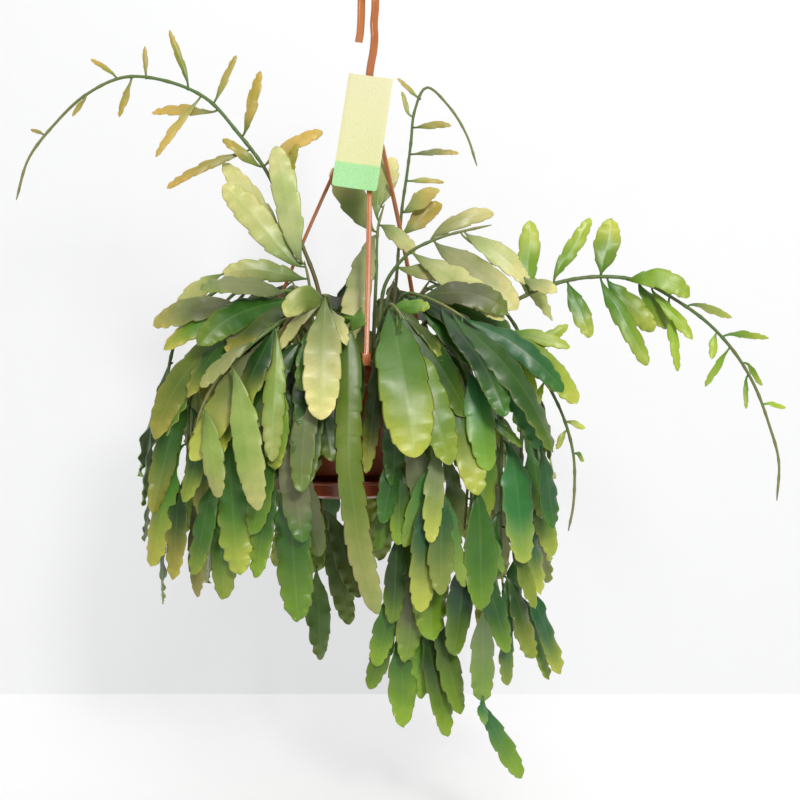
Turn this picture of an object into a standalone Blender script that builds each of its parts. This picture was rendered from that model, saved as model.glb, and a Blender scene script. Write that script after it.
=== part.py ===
"""A pseudorhipsalis in a plastic hanging pot.

The pot hangs by three straps and a hook, with a saucer clipped below it and a hang tag
folded over the hook. Round and flat green stems stand in the soil, arch over the rim and hang.

Metres, +Z up. The origin is the underside of the hook's crown, where the pot is hung up.
The front, as photographed, looks along +Y, with +X to the right.
"""

import math
import random
from collections import namedtuple
from itertools import product

import bpy
from mathutils import Vector
from mathutils.bvhtree import BVHTree

MM = 0.001
CM = 0.01

# Driving dimensions

RIM_RADIUS = 88 * MM            # a 17 to 18 cm hanging pot
POT_HEIGHT = 102 * MM           # rim to the floor's underside
POT_TAPER = 22 * MM             # how much narrower the pot is at its floor
WALL = 1.8 * MM                 # moulded plastic
GAP = 0.3 * MM                  # left between pieces that touch

RIM_BELOW_HOOK = 332 * MM
HUB_BELOW_HOOK = 106 * MM
POT_OFF_PLUMB = -18 * MM        # the heavier right side pulls the pot to the left

FLANGE_WIDTH = 3.4 * MM         # the rim's edge, which the straps grip
FLANGE_THICK = 2 * MM
BAND_HEIGHT = 20 * MM           # the steeper band below the rim
BAND_STEP = 2.2 * MM            # where the band steps in to the body
DRAIN_RADIUS = 4 * MM
DRAINS_FROM_MIDDLE = 30 * MM

FOOT_INSET = 13 * MM            # the foot ring, from the floor's edge
FOOT_DROP = 18 * MM
BEAD = 1.6 * MM                 # on the foot ring, for the saucer's posts
SAUCER_RADIUS = 74 * MM
SAUCER_DEPTH = 16 * MM
SAUCER_LIP = 1.2 * MM
POST_WIDTH = 9 * MM             # the posts that clip the saucer on
POST_THICK = 2.5 * MM

FRONT_STRAP_ANGLE = math.radians(11.5)   # from the front, towards the right
STRAP_WIDTH = 4.6 * MM
STRAP_THICK = 2.2 * MM
STRAP_BOW = 3.5 * MM            # how far a strap is sprung outwards
GRIP_WIDTH = 7 * MM
GRIP_THICK = 1.6 * MM
GRIP_REACH = 2.6 * MM           # over and under the rim's edge

HOOK_WIDTH = 7 * MM
HOOK_THICK = 4 * MM
HOOK_RADIUS = 10 * MM           # inside the crown
HOOK_TURN = math.radians(33)    # the hook's plane, turned from the front towards the right
CROWN_HALF = 2.5 * MM           # of the flat at the crown
HUB_RADIUS = 9.5 * MM
HUB_THICK = 4 * MM
NOTCH_DEPTH = 4.2 * MM          # of the straps' seats in the hub

LABEL_WIDTH = 40 * MM
LABEL_LENGTH = 110 * MM
LABEL_THICK = 0.6 * MM
LABEL_LEAN = math.radians(7.5)
LABEL_TILT = math.radians(19)   # it lies forwards on the front strap
LABEL_BELOW_HOOK = 80 * MM
FLAP_LENGTH = 17 * MM           # folded back, and forked round the hook's bar

SOIL_BELOW_RIM = 12 * MM
ROOT_DEPTH = 11 * MM
STEM_RADIUS = 2.1 * MM
THIN_STEM_RADIUS = 1.7 * MM
STEM_TIP_RADIUS = 1.1 * MM
BLADE_THICK = 1.4 * MM          # at the rib
ROOT_HALF_WIDTH = 0.8 * MM      # of a blade's root, inside its stem
CLEARANCE = 0.45 * MM           # kept round every leafy stem while the next ones are placed

ROUND_STEPS = 24                # sides of the pot, the saucer and the soil
SEED = 7

RIM_Z = -RIM_BELOW_HOOK
SOIL_Z = RIM_Z - SOIL_BELOW_RIM
POT_FLOOR_Z = RIM_Z - POT_HEIGHT
FLOOR_RADIUS = RIM_RADIUS - POT_TAPER
FOOT_RADIUS = FLOOR_RADIUS - FOOT_INSET
BAND_RADIUS = RIM_RADIUS - FLANGE_WIDTH         # outside, below the rim's edge
BODY_RADIUS = BAND_RADIUS - 0.4 * MM - BAND_STEP
BAND_LOW_Z = RIM_Z - BAND_HEIGHT

# Name: colour, roughness
LOOKS = {
    "terracotta": ((0.36, 0.10, 0.045), 0.4),
    "hanger": ((0.55, 0.20, 0.08), 0.35),
    "label": ((0.80, 0.78, 0.52), 0.5),
    "soil": ((0.055, 0.035, 0.022), 0.95),
    "leaf": ((0.16, 0.27, 0.07), 0.4),
}


# Small helpers

def clear_scene():
    for item in list(bpy.data.objects):
        bpy.data.objects.remove(item, do_unlink=True)


def material(name):
    made = bpy.data.materials.get(name)
    if made:
        return made
    colour, roughness = LOOKS[name]
    made = bpy.data.materials.new(name)
    made.use_nodes = True
    shader = made.node_tree.nodes["Principled BSDF"]
    shader.inputs["Base Color"].default_value = (*colour, 1)
    shader.inputs["Roughness"].default_value = roughness
    shader.inputs["Metallic"].default_value = 0
    return made


def add_object(name, mesh_data, material_name):
    points, faces = mesh_data
    mesh = bpy.data.meshes.new(name)
    mesh.from_pydata([tuple(p) for p in points], [], faces)
    mesh.validate()
    mesh.update()
    made = bpy.data.objects.new(name, mesh)
    bpy.context.scene.collection.objects.link(made)
    mesh.materials.append(material(material_name))
    return made


def combine(target, tools, operation, solver="EXACT"):
    """Joins the tools to the target, or cuts them from it, and removes them."""
    if not tools:
        return target
    group = bpy.data.collections.new("tools")
    bpy.context.scene.collection.children.link(group)
    for tool in tools:
        bpy.context.scene.collection.objects.unlink(tool)
        group.objects.link(tool)
    step = target.modifiers.new("combine", "BOOLEAN")
    step.operation = operation
    step.operand_type = "COLLECTION"
    step.collection = group
    step.solver = solver
    graph = bpy.context.evaluated_depsgraph_get()
    graph.update()
    result = bpy.data.meshes.new_from_object(target.evaluated_get(graph))
    target.modifiers.clear()
    old = target.data
    target.data = result
    bpy.data.meshes.remove(old)
    for tool in tools:
        bpy.data.objects.remove(tool, do_unlink=True)
    bpy.data.collections.remove(group)
    return target


def smooth_route(points, count):
    """Points at even steps along a smooth curve through the given ones."""
    ends = [2 * points[0] - points[1], *points, 2 * points[-1] - points[-2]]
    fine = []
    for a, b, c, d in zip(ends, ends[1:], ends[2:], ends[3:]):
        for step in range(12):
            t = step / 12
            fine.append(0.5 * (2 * b + (c - a) * t + (2 * a - 5 * b + 4 * c - d) * t * t
                               + (3 * b - a - 3 * c + d) * t ** 3))
    fine.append(points[-1])
    lengths = [0]
    for a, b in zip(fine, fine[1:]):
        lengths.append(lengths[-1] + (b - a).length)
    route = []
    here = 0
    for step in range(count):
        wanted = lengths[-1] * step / (count - 1)
        while here < len(fine) - 2 and lengths[here + 1] < wanted:
            here += 1
        span = lengths[here + 1] - lengths[here]
        share = (wanted - lengths[here]) / span if span else 0
        route.append(fine[here].lerp(fine[here + 1], min(1, share)))
    return route


def directions(route):
    return [(route[min(i + 1, len(route) - 1)] - route[max(i - 1, 0)]).normalized()
            for i in range(len(route))]


# Solids from outlines

def turned(outline, centre_x):
    """A round solid from (r, z) points that run from the axis up its outside, back to the axis."""
    points = [(centre_x, 0, outline[0][1]), (centre_x, 0, outline[-1][1])]
    ring = outline[1:-1]
    for step in range(ROUND_STEPS):
        angle = math.tau * step / ROUND_STEPS
        for r, z in ring:
            points.append((centre_x + r * math.cos(angle), r * math.sin(angle), z))
    faces = []
    count = len(ring)
    for step in range(ROUND_STEPS):
        here = 2 + step * count
        there = 2 + (step + 1) % ROUND_STEPS * count
        faces.append((there, here, 0))
        for i in range(count - 1):
            faces.append((there + i, there + i + 1, here + i + 1, here + i))
        faces.append((here + count - 1, there + count - 1, 1))
    return points, faces


def tube_faces(rings, sides):
    faces = [tuple(reversed(range(sides)))]
    for ring in range(rings - 1):
        for i in range(sides):
            j = (i + 1) % sides
            low = ring * sides
            faces.append((low + i, low + j, low + sides + j, low + sides + i))
    faces.append(tuple((rings - 1) * sides + i for i in range(sides)))
    return faces


def flat_bar(route, across, width, thick):
    """A bar of rectangular section along a route. across is the direction of its width."""
    points = []
    for spot, forward in zip(route, directions(route)):
        side = (across - forward * across.dot(forward)).normalized()
        face = forward.cross(side)
        for s, f in ((-1, -1), (1, -1), (1, 1), (-1, 1)):
            points.append(spot + side * s * width / 2 + face * f * thick / 2)
    return points, tube_faces(len(route), 4)


def round_bar(route, radii, sides):
    """A tapered round stem along a route."""
    forward = directions(route)
    side = forward[0].orthogonal().normalized()
    points = []
    for spot, ahead, radius in zip(route, forward, radii):
        side = (side - ahead * side.dot(ahead)).normalized()
        up = ahead.cross(side)
        for i in range(sides):
            angle = math.tau * i / sides
            points.append(spot + radius * (side * math.cos(angle) + up * math.sin(angle)))
    return points, tube_faces(len(route), sides)


def upright(x, y, low, high, radius, sides):
    """An upright prism."""
    points = []
    for z in (low, high):
        for i in range(sides):
            angle = math.tau * i / sides
            points.append(Vector((x + radius * math.cos(angle), y + radius * math.sin(angle), z)))
    return points, tube_faces(2, sides)


def box(middle, out, deep, wide, high):
    """An upright box that is deep along the level direction out, and wide across it."""
    side = Vector((-out.y, out.x, 0))
    up = Vector((0, 0, 1))
    points = []
    for z in (-1, 1):
        for a, b in ((-1, -1), (1, -1), (1, 1), (-1, 1)):
            points.append(middle + out * a * deep / 2 + side * b * wide / 2 + up * z * high / 2)
    return points, tube_faces(2, 4)


def radial_plate(outline, out, width):
    """An (r, z) outline from the pot's axis, in the upright plane along out, made width thick."""
    side = Vector((-out.y, out.x, 0))
    centre = Vector((POT_OFF_PLUMB, 0, 0))
    count = len(outline)
    points = []
    for s in (-1, 1):
        for r, z in outline:
            points.append(centre + out * r + side * s * width / 2 + Vector((0, 0, z)))
    faces = [tuple(range(count)), tuple(reversed(range(count, 2 * count)))]
    for i in range(count):
        j = (i + 1) % count
        faces.append((i, i + count, j + count, j))
    return points, faces


def slab(top, down, side, front, length, width):
    """A sheet of the label's thickness, whose front face starts at top and runs down."""
    points = []
    for depth in (0, LABEL_THICK):
        for a, b in ((0, -1), (1, -1), (1, 1), (0, 1)):
            points.append(top + down * a * length + side * b * width / 2 - front * depth)
    return points, tube_faces(2, 4)


# The pot and its saucer

def build_pot():
    """Rim flange, stepped band, tapered body, and a beaded foot ring below a floor with drains."""
    floor_top = POT_FLOOR_Z + WALL
    foot_z = POT_FLOOR_Z - FOOT_DROP
    outline = [
        (0, POT_FLOOR_Z),
        (FOOT_RADIUS - WALL, POT_FLOOR_Z),
        (FOOT_RADIUS - WALL, foot_z),
        (FOOT_RADIUS + BEAD, foot_z),
        (FOOT_RADIUS + BEAD, foot_z + 2 * MM),
        (FOOT_RADIUS, foot_z + 3 * MM),
        (FOOT_RADIUS, POT_FLOOR_Z),
        (FLOOR_RADIUS, POT_FLOOR_Z),
        (BODY_RADIUS, BAND_LOW_Z - 2 * MM),
        (BAND_RADIUS - 0.4 * MM, BAND_LOW_Z),
        (BAND_RADIUS, RIM_Z - FLANGE_THICK),
        (RIM_RADIUS, RIM_Z - FLANGE_THICK),
        (RIM_RADIUS, RIM_Z),
        (BAND_RADIUS - WALL, RIM_Z),
        (BODY_RADIUS - WALL, BAND_LOW_Z - 2 * MM),
        (FLOOR_RADIUS - WALL, floor_top),
        (0, floor_top),
    ]
    pot = add_object("pot", turned(outline, POT_OFF_PLUMB), "terracotta")
    drains = []
    for step in range(4):
        angle = math.tau * step / 4
        drain = upright(POT_OFF_PLUMB + DRAINS_FROM_MIDDLE * math.cos(angle),
                        DRAINS_FROM_MIDDLE * math.sin(angle),
                        POT_FLOOR_Z - WALL, floor_top + WALL, DRAIN_RADIUS, 6)
        drains.append(add_object("drain", drain, "terracotta"))
    return combine(pot, drains, "DIFFERENCE")


def build_saucer():
    """A dish below the foot ring, with three springy posts that hook over the ring's bead."""
    floor_top = POT_FLOOR_Z - FOOT_DROP - GAP
    floor_low = floor_top - WALL
    top = floor_low + SAUCER_DEPTH
    inside = SAUCER_RADIUS - WALL
    outline = [
        (0, floor_low),
        (SAUCER_RADIUS - 7 * MM, floor_low),
        (SAUCER_RADIUS - 1 * MM, floor_low + 3 * MM),
        (SAUCER_RADIUS + SAUCER_LIP, top - SAUCER_LIP),
        (SAUCER_RADIUS + SAUCER_LIP, top),
        (inside, top),
        (inside - 1 * MM, floor_top + 3 * MM),
        (SAUCER_RADIUS - 8 * MM, floor_top),
        (0, floor_top),
    ]
    saucer = add_object("saucer", turned(outline, POT_OFF_PLUMB), "terracotta")
    posts = []
    for step in range(3):
        angle = math.tau * (step + 0.5) / 3
        posts.append(add_object("post", saucer_post(angle, floor_top), "terracotta"))
    return combine(saucer, posts, "UNION")


def saucer_post(angle, floor_top):
    inner = FOOT_RADIUS + BEAD + GAP
    outer = inner + POST_THICK
    hook_r = FOOT_RADIUS + GAP
    foot_z = floor_top - WALL / 2
    under_z = floor_top + 3.6 * MM
    outline = [
        (inner, foot_z),
        (outer, foot_z),
        (outer, floor_top + 8 * MM),
        (hook_r, under_z + 0.4 * MM),
        (hook_r, under_z),
        (inner, under_z - 0.2 * MM),
    ]
    return radial_plate(outline, Vector((math.cos(angle), math.sin(angle), 0)), POST_WIDTH)


# The hanger

def hook_route():
    """The hook's middle line in its own plane: distance from the plumb line, and height."""
    arc_r = HOOK_RADIUS + HOOK_THICK / 2

    def on_arc(degrees):
        angle = math.radians(degrees)
        return arc_r * math.cos(angle), arc_r * math.sin(angle) - HOOK_RADIUS

    shank = [(0, -HUB_BELOW_HOOK), (0, -95 * MM), (1 * MM, -82 * MM), (4 * MM, -70 * MM),
             (8.5 * MM, -58 * MM), (10.5 * MM, -46 * MM), (9.5 * MM, -34 * MM), (11.5 * MM, -22 * MM)]
    ends = CROWN_HALF + 1 * MM
    crown = [(q, HOOK_THICK / 2) for q in (ends, CROWN_HALF, -CROWN_HALF, -ends)]
    point = [(-arc_r - 0.5 * MM, -24 * MM), (-arc_r - 2 * MM, -37 * MM), (-arc_r - 5 * MM, -46 * MM)]
    rising = [on_arc(degrees) for degrees in (0, 22, 44, 66)]
    falling = [on_arc(degrees) for degrees in (114, 136, 158, 180)]
    return shank + rising + crown + falling + point


def hook_plane():
    return Vector((math.sin(HOOK_TURN), -math.cos(HOOK_TURN), 0))


def build_hook():
    """A flat bar with a bowed shank and a hook, on a round hub with a notch for each strap."""
    out = hook_plane()
    across = Vector((out.y, -out.x, 0))
    route = [out * q + Vector((0, 0, z)) for q, z in hook_route()]
    hook = add_object("hook", flat_bar(route, across, HOOK_WIDTH, HOOK_THICK), "hanger")
    hub_middle = HUB_THICK / 2 - 1 * MM
    low = -HUB_BELOW_HOOK - hub_middle - HUB_THICK / 2
    hub = add_object("hub", upright(0, 0, low, low + HUB_THICK, HUB_RADIUS, 12), "hanger")
    combine(hook, [hub], "UNION")
    notches = []
    for out in strap_directions():
        middle = out * (HUB_RADIUS + 1 * MM) + Vector((0, 0, low + HUB_THICK / 2))
        notch = box(middle, out, 2 * NOTCH_DEPTH, STRAP_WIDTH + 2 * GAP, 2 * HUB_THICK)
        notches.append(add_object("notch", notch, "hanger"))
    return combine(hook, notches, "DIFFERENCE")


def strap_directions():
    """The level directions of the front, right and left straps from the plumb line."""
    found = []
    for step in (0, 1, -1):
        angle = FRONT_STRAP_ANGLE + step * math.tau / 3
        found.append(Vector((math.sin(angle), -math.cos(angle), 0)))
    return found


def strap_line(out):
    """Where a strap runs: from its seat in the hub, bowed outwards, to the rim's edge."""
    seat = out * (HUB_RADIUS + 1 * MM - NOTCH_DEPTH + STRAP_THICK / 2 + GAP)
    head = seat + Vector((0, 0, -HUB_BELOW_HOOK + 3 * MM))
    below = seat + out * 0.4 * MM + Vector((0, 0, -HUB_BELOW_HOOK - 6 * MM))
    end = Vector((POT_OFF_PLUMB, 0, 0)) + out * (RIM_RADIUS + GAP + STRAP_THICK / 2)
    end.z = RIM_Z + 3 * MM
    span = end - below
    bowed = below + span * 0.62 + out * STRAP_BOW
    return [head, below, below + span * 0.2 + out * 0.4 * STRAP_BOW, bowed, end]


def build_strap(name, out):
    """A flat strap: its head rests on the hub, and its lower end grips the pot's rim."""
    side = Vector((-out.y, out.x, 0))
    line = strap_line(out)
    route = smooth_route(line, 12)
    strap = add_object(name, flat_bar(route, side, STRAP_WIDTH, STRAP_THICK), "hanger")
    head_thick = 2.5 * MM
    head_at = line[0].copy()
    head_at.z = -HUB_BELOW_HOOK + 1 * MM + GAP + head_thick / 2
    head = add_object("head", box(head_at, out, STRAP_THICK + 1.6 * MM, STRAP_WIDTH + 4 * MM, head_thick),
                      "hanger")
    outer = RIM_RADIUS + GAP
    inner = RIM_RADIUS - GRIP_REACH
    above = RIM_Z + GAP
    under = RIM_Z - FLANGE_THICK - GAP
    outline = [
        (outer, RIM_Z + 6 * MM),
        (outer, above + GRIP_THICK),
        (inner, above + 0.75 * GRIP_THICK),
        (inner, above),
        (outer, above),
        (outer, under),
        (inner, under),
        (inner, under - GRIP_THICK),
        (outer + 1.5 * GRIP_THICK, under - GRIP_THICK),
        (outer + 1.5 * GRIP_THICK, RIM_Z + 6 * MM),
    ]
    grip = add_object("grip", radial_plate(outline, out, GRIP_WIDTH), "hanger")
    return combine(strap, [head, grip], "UNION")


# The plant label

def build_label():
    """A card whose top is folded back as a fork round the hook's bar."""
    down = Vector((-math.sin(LABEL_LEAN), -math.sin(LABEL_TILT), -math.cos(LABEL_TILT))).normalized()
    side = Vector((math.cos(LABEL_LEAN), 0, -math.sin(LABEL_LEAN)))
    side = (side - down * side.dot(down)).normalized()
    front = down.cross(side)
    fold = Vector((2.5 * MM, -HOOK_THICK / 2 - 5.5 * MM, -LABEL_BELOW_HOOK))
    card = add_object("label", slab(fold, down, side, front, LABEL_LENGTH, LABEL_WIDTH), "label")
    back = Vector((0, 1, 0))
    flap = slab(fold - front * LABEL_THICK / 2, back, side, side.cross(back), FLAP_LENGTH,
                0.62 * LABEL_WIDTH)
    combine(card, [add_object("flap", flap, "label")], "UNION")
    bar = hook_plane() * 1.4 * MM + Vector((0, 0, -LABEL_BELOW_HOOK))
    slot = box(bar + back * 8 * MM, back, 24 * MM, 9.6 * MM, 12 * MM)
    return combine(card, [add_object("slot", slot, "label")], "DIFFERENCE")


# Leafy stems. Their lists are in centimetres: right of the hook's plumb line, in front of it,
# and up from the pot's rim.

def place(right, front, up):
    return Vector((right * CM, -front * CM, RIM_Z + up * CM))


# One blade: base is where it leaves its stem, as (right, up); tip as (right, front, up);
# arch is how far its middle stands out; turn is its twist in degrees. It grows from the
# stem, or from the blade numbered in `on`.
Blade = namedtuple("Blade", "base tip width arch turn on", defaults=(0.5, 0, None))


class Garden:
    """The pieces placed so far, so that the next ones can be kept clear of them."""

    def __init__(self):
        self.placed = []

    def add(self, owner, mesh_data):
        self.placed.append((owner, *self.box_and_tree(mesh_data)))

    @staticmethod
    def box_and_tree(mesh_data):
        points, faces = mesh_data
        low = [min(p[i] for p in points) for i in range(3)]
        high = [max(p[i] for p in points) for i in range(3)]
        return low, high, BVHTree.FromPolygons([tuple(p) for p in points], faces)

    def is_clear(self, mesh_data, skip=None):
        low, high, tree = self.box_and_tree(mesh_data)
        for owner, other_low, other_high, other in self.placed:
            if owner == skip:
                continue
            if any(low[i] > other_high[i] or high[i] < other_low[i] for i in range(3)):
                continue
            if tree.overlap(other):
                return False
        return True


def blade_route(base, tip, arch, leaving, facing, shares):
    """The rib of a blade: it leaves its stem sideways, arches out and droops to its tip."""
    length = (tip - base).length
    shoulder = base + leaving * max(0.9 * CM, 0.15 * length)
    bulge = (Vector((0, 0, 1)) + facing * 0.7).normalized() * arch * CM
    knee = base.lerp(tip, 0.5) + bulge
    route = []
    for t in shares:
        u = 1 - t
        route.append(base * u ** 3 + 3 * shoulder * t * u * u + 3 * knee * t * t * u + tip * t ** 3)
    return route


# A blade's outline: how far along each pair of edge points is, and how broad it is there.
LONG_BLADE = ((0, 0), (0.07, 0.13), (0.2, 0.5), (0.36, 0.95), (0.54, 1.0), (0.74, 1.0), (0.91, 0.72))
MIDDLE_BLADE = ((0, 0), (0.09, 0.15), (0.27, 0.75), (0.48, 1.0), (0.72, 1.0), (0.91, 0.68))
SHORT_BLADE = ((0, 0), (0.12, 0.22), (0.45, 1.0), (0.8, 0.8))


def blade_outline(length, width):
    if length < 5 * CM:
        return SHORT_BLADE
    if length < 9.6 * CM or width < 1.5 * CM:
        return MIDDLE_BLADE
    return LONG_BLADE


def split_outwards(points, corners, outwards):
    """Splits four corners into two triangles along the diagonal that lies farther outwards, so
    that the front and the back of a twisted blade never cross."""
    p, q, r, s = corners
    if (points[p] + points[r] - points[q] - points[s]).dot(outwards) >= 0:
        return [(p, q, r), (p, r, s)]
    return [(q, r, s), (q, s, p)]


def blade_mesh(route, outline, width, facing, turn, grow=0.0, notch=0.2):
    """A thin crenate blade: two edges and a rib that stands up on its outer face."""
    ahead = directions(route)
    points = []
    fronts = []
    rings = len(outline)
    for i, (t, breadth) in enumerate(outline):
        forward = ahead[i]
        side = forward.cross(facing)
        if side.length < 0.05:
            side = forward.orthogonal()
        side.normalize()
        angle = math.radians(turn) * (0.35 + 0.65 * t)
        face = side.cross(forward)
        side, face = (side * math.cos(angle) + face * math.sin(angle),
                      face * math.cos(angle) - side * math.sin(angle))
        half = max(width / 2 * breadth, ROOT_HALF_WIDTH)
        left = half * (1 - notch * (i % 2)) if i > 1 else half
        right = half * (1 - notch * ((i + 1) % 2)) if i > 1 else half
        thick = BLADE_THICK * (0.6 if i == 0 else 1)
        ripple = face * width * 0.035 * (1 if i % 2 else -1) * (1 if i > 1 else 0)
        back = face * (0.35 * thick + grow)
        fronts.append(face)
        points.append(route[i] - side * (left + grow) + ripple - back)
        points.append(route[i] + face * (0.65 * thick + grow))
        points.append(route[i] + side * (right + grow) - ripple - back)
    points.append(route[-1] + ahead[-1] * grow)
    faces = [(2, 1, 0)]
    for i in range(rings - 1):
        low = i * 3
        front = fronts[i] + fronts[i + 1]
        for a, b, outwards in ((0, 1, front), (1, 2, front), (2, 0, -front)):
            corners = low + a, low + b, low + 3 + b, low + 3 + a
            faces += split_outwards(points, corners, outwards)
    last = (rings - 1) * 3
    end = len(points) - 1
    faces += [(last, last + 1, end), (last + 1, last + 2, end), (last + 2, last, end)]
    return points, faces


def facing_at(spot, front_share):
    """The way a blade faces: away from the pot's axis, turned partly to the front."""
    away = Vector((spot.x - POT_OFF_PLUMB, spot.y, 0))
    away = away.normalized() if away.length > 1e-6 else Vector((0, -1, 0))
    mixed = away * (1 - front_share) + Vector((0, -1, 0)) * front_share
    mixed.z = 0.3
    return mixed.normalized()


def nearest_on(route, base):
    """The point of a route nearest to base, and the way it runs there. A base of only
    (right, up) is matched as it looks from the front."""
    best = None
    for a, b in zip(route, route[1:]):
        for step in range(6):
            spot = a.lerp(b, step / 6)
            aim = place(*base) if len(base) == 3 else place(base[0], -spot.y / CM, base[1])
            miss = (spot - aim).length
            if best is None or miss < best[0]:
                best = (miss, spot, (b - a).normalized())
    return best[1], best[2]


def nudges(wide):
    """Small moves of a blade's tip, nearest first: sideways, outwards and up, in centimetres."""
    found = [(0, 0, 0)]
    for size in (0.5, 1.0, 1.6, 2.4, 3.4)[:5 if wide else 4]:
        found += [(0, size, 0), (size, 0, 0), (-size, 0, 0), (0, -size, 0),
                  (size, size, 0.3), (-size, size, 0.3), (0, size, size), (size, -size, 0),
                  (-size, -size, 0)]
    return found


class Shoot:
    """A leafy stem: a round stem and the blades that grow from it."""

    def __init__(self, name, route, blades, radius=STEM_RADIUS, sides=4, front_share=0.45):
        self.name = name
        self.route = route
        self.blades = blades
        self.sides = sides
        self.front_share = front_share
        last = len(route) - 1
        self.radii = [radius + (STEM_TIP_RADIUS - radius) * i / last for i in range(last + 1)]
        self.pieces = []

    def stem(self, grow=0.0):
        return round_bar(self.route, [r + grow for r in self.radii], self.sides)

    def place_stem(self, garden):
        if not garden.is_clear(self.stem(CLEARANCE)):
            return False
        garden.add(self.name, self.stem())
        self.pieces.append(self.stem())
        return True

    def place_blades(self, garden, wide=False):
        """Adds each blade that finds room. One grown from a blade without room is left out too."""
        own = Garden()
        own.add(self.name, self.stem())
        routes = []
        for blade in self.blades:
            parent = self.route if blade.on is None else routes[blade.on]
            routes.append(self.fit_blade(garden, own, parent, blade, wide) if parent else None)

    def fit_blade(self, garden, own, parent, blade, wide):
        """Tries the blade at its tip and then at nudged ones, until it is clear of every other
        stem. One that crosses its own stem's pieces is taken only when no other place is left."""
        base, along = nearest_on(parent, blade.base)
        choices = list(product((0.4, 1.0, -0.6), nudges(wide)))
        for may_cross in (False, True):
            for stand_off, nudge in choices:
                route, shape = self.shape_blade(base, along, blade, stand_off, nudge)
                if not garden.is_clear(blade_mesh(route, *shape, grow=CLEARANCE), skip=self.name):
                    continue
                outline, *rest = shape
                if not may_cross and not own.is_clear(blade_mesh(route[1:], outline[1:], *rest)):
                    continue
                made = blade_mesh(route, *shape)
                garden.add(self.name, made)
                own.add(self.name, made)
                self.pieces.append(made)
                return route
        return None

    def shape_blade(self, base, along, blade, stand_off, nudge):
        """A blade's route and shape. stand_off turns its root away from the pot."""
        sideways, outwards, up = nudge
        tip = place(*blade.tip)
        facing = facing_at(base.lerp(tip, 0.6), self.front_share)
        flat = Vector((facing.x, facing.y, 0)).normalized()
        tip += (Vector((-flat.y, flat.x, 0)) * sideways + flat * outwards) * CM
        tip.z += up * CM
        leaving = along
        if blade.on is None:
            toward = tip - base
            leaving = (toward - along * toward.dot(along)).normalized() + flat * stand_off
            leaving.normalize()
        width = blade.width * CM
        outline = blade_outline((tip - base).length, width)
        route = blade_route(base, tip, blade.arch, leaving, flat, [t for t, _ in outline] + [1])
        return route, (outline, width, facing, blade.turn)

    def build(self):
        stem, *blades = self.pieces
        target = add_object(self.name, stem, "leaf")
        others = [add_object("blade", piece, "leaf") for piece in blades]
        combine(target, others, "UNION", "MANIFOLD")


def rooted(root, points, count):
    """A stem's route: upright out of its hole in the soil, then through the points."""
    foot = place(root[0], root[1], 0)
    foot.z = SOIL_Z - ROOT_DEPTH
    collar = foot.copy()
    collar.z = SOIL_Z + 3 * MM
    rest = smooth_route([collar, *[place(*p) for p in points]], count)
    return [foot, *rest]


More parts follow.
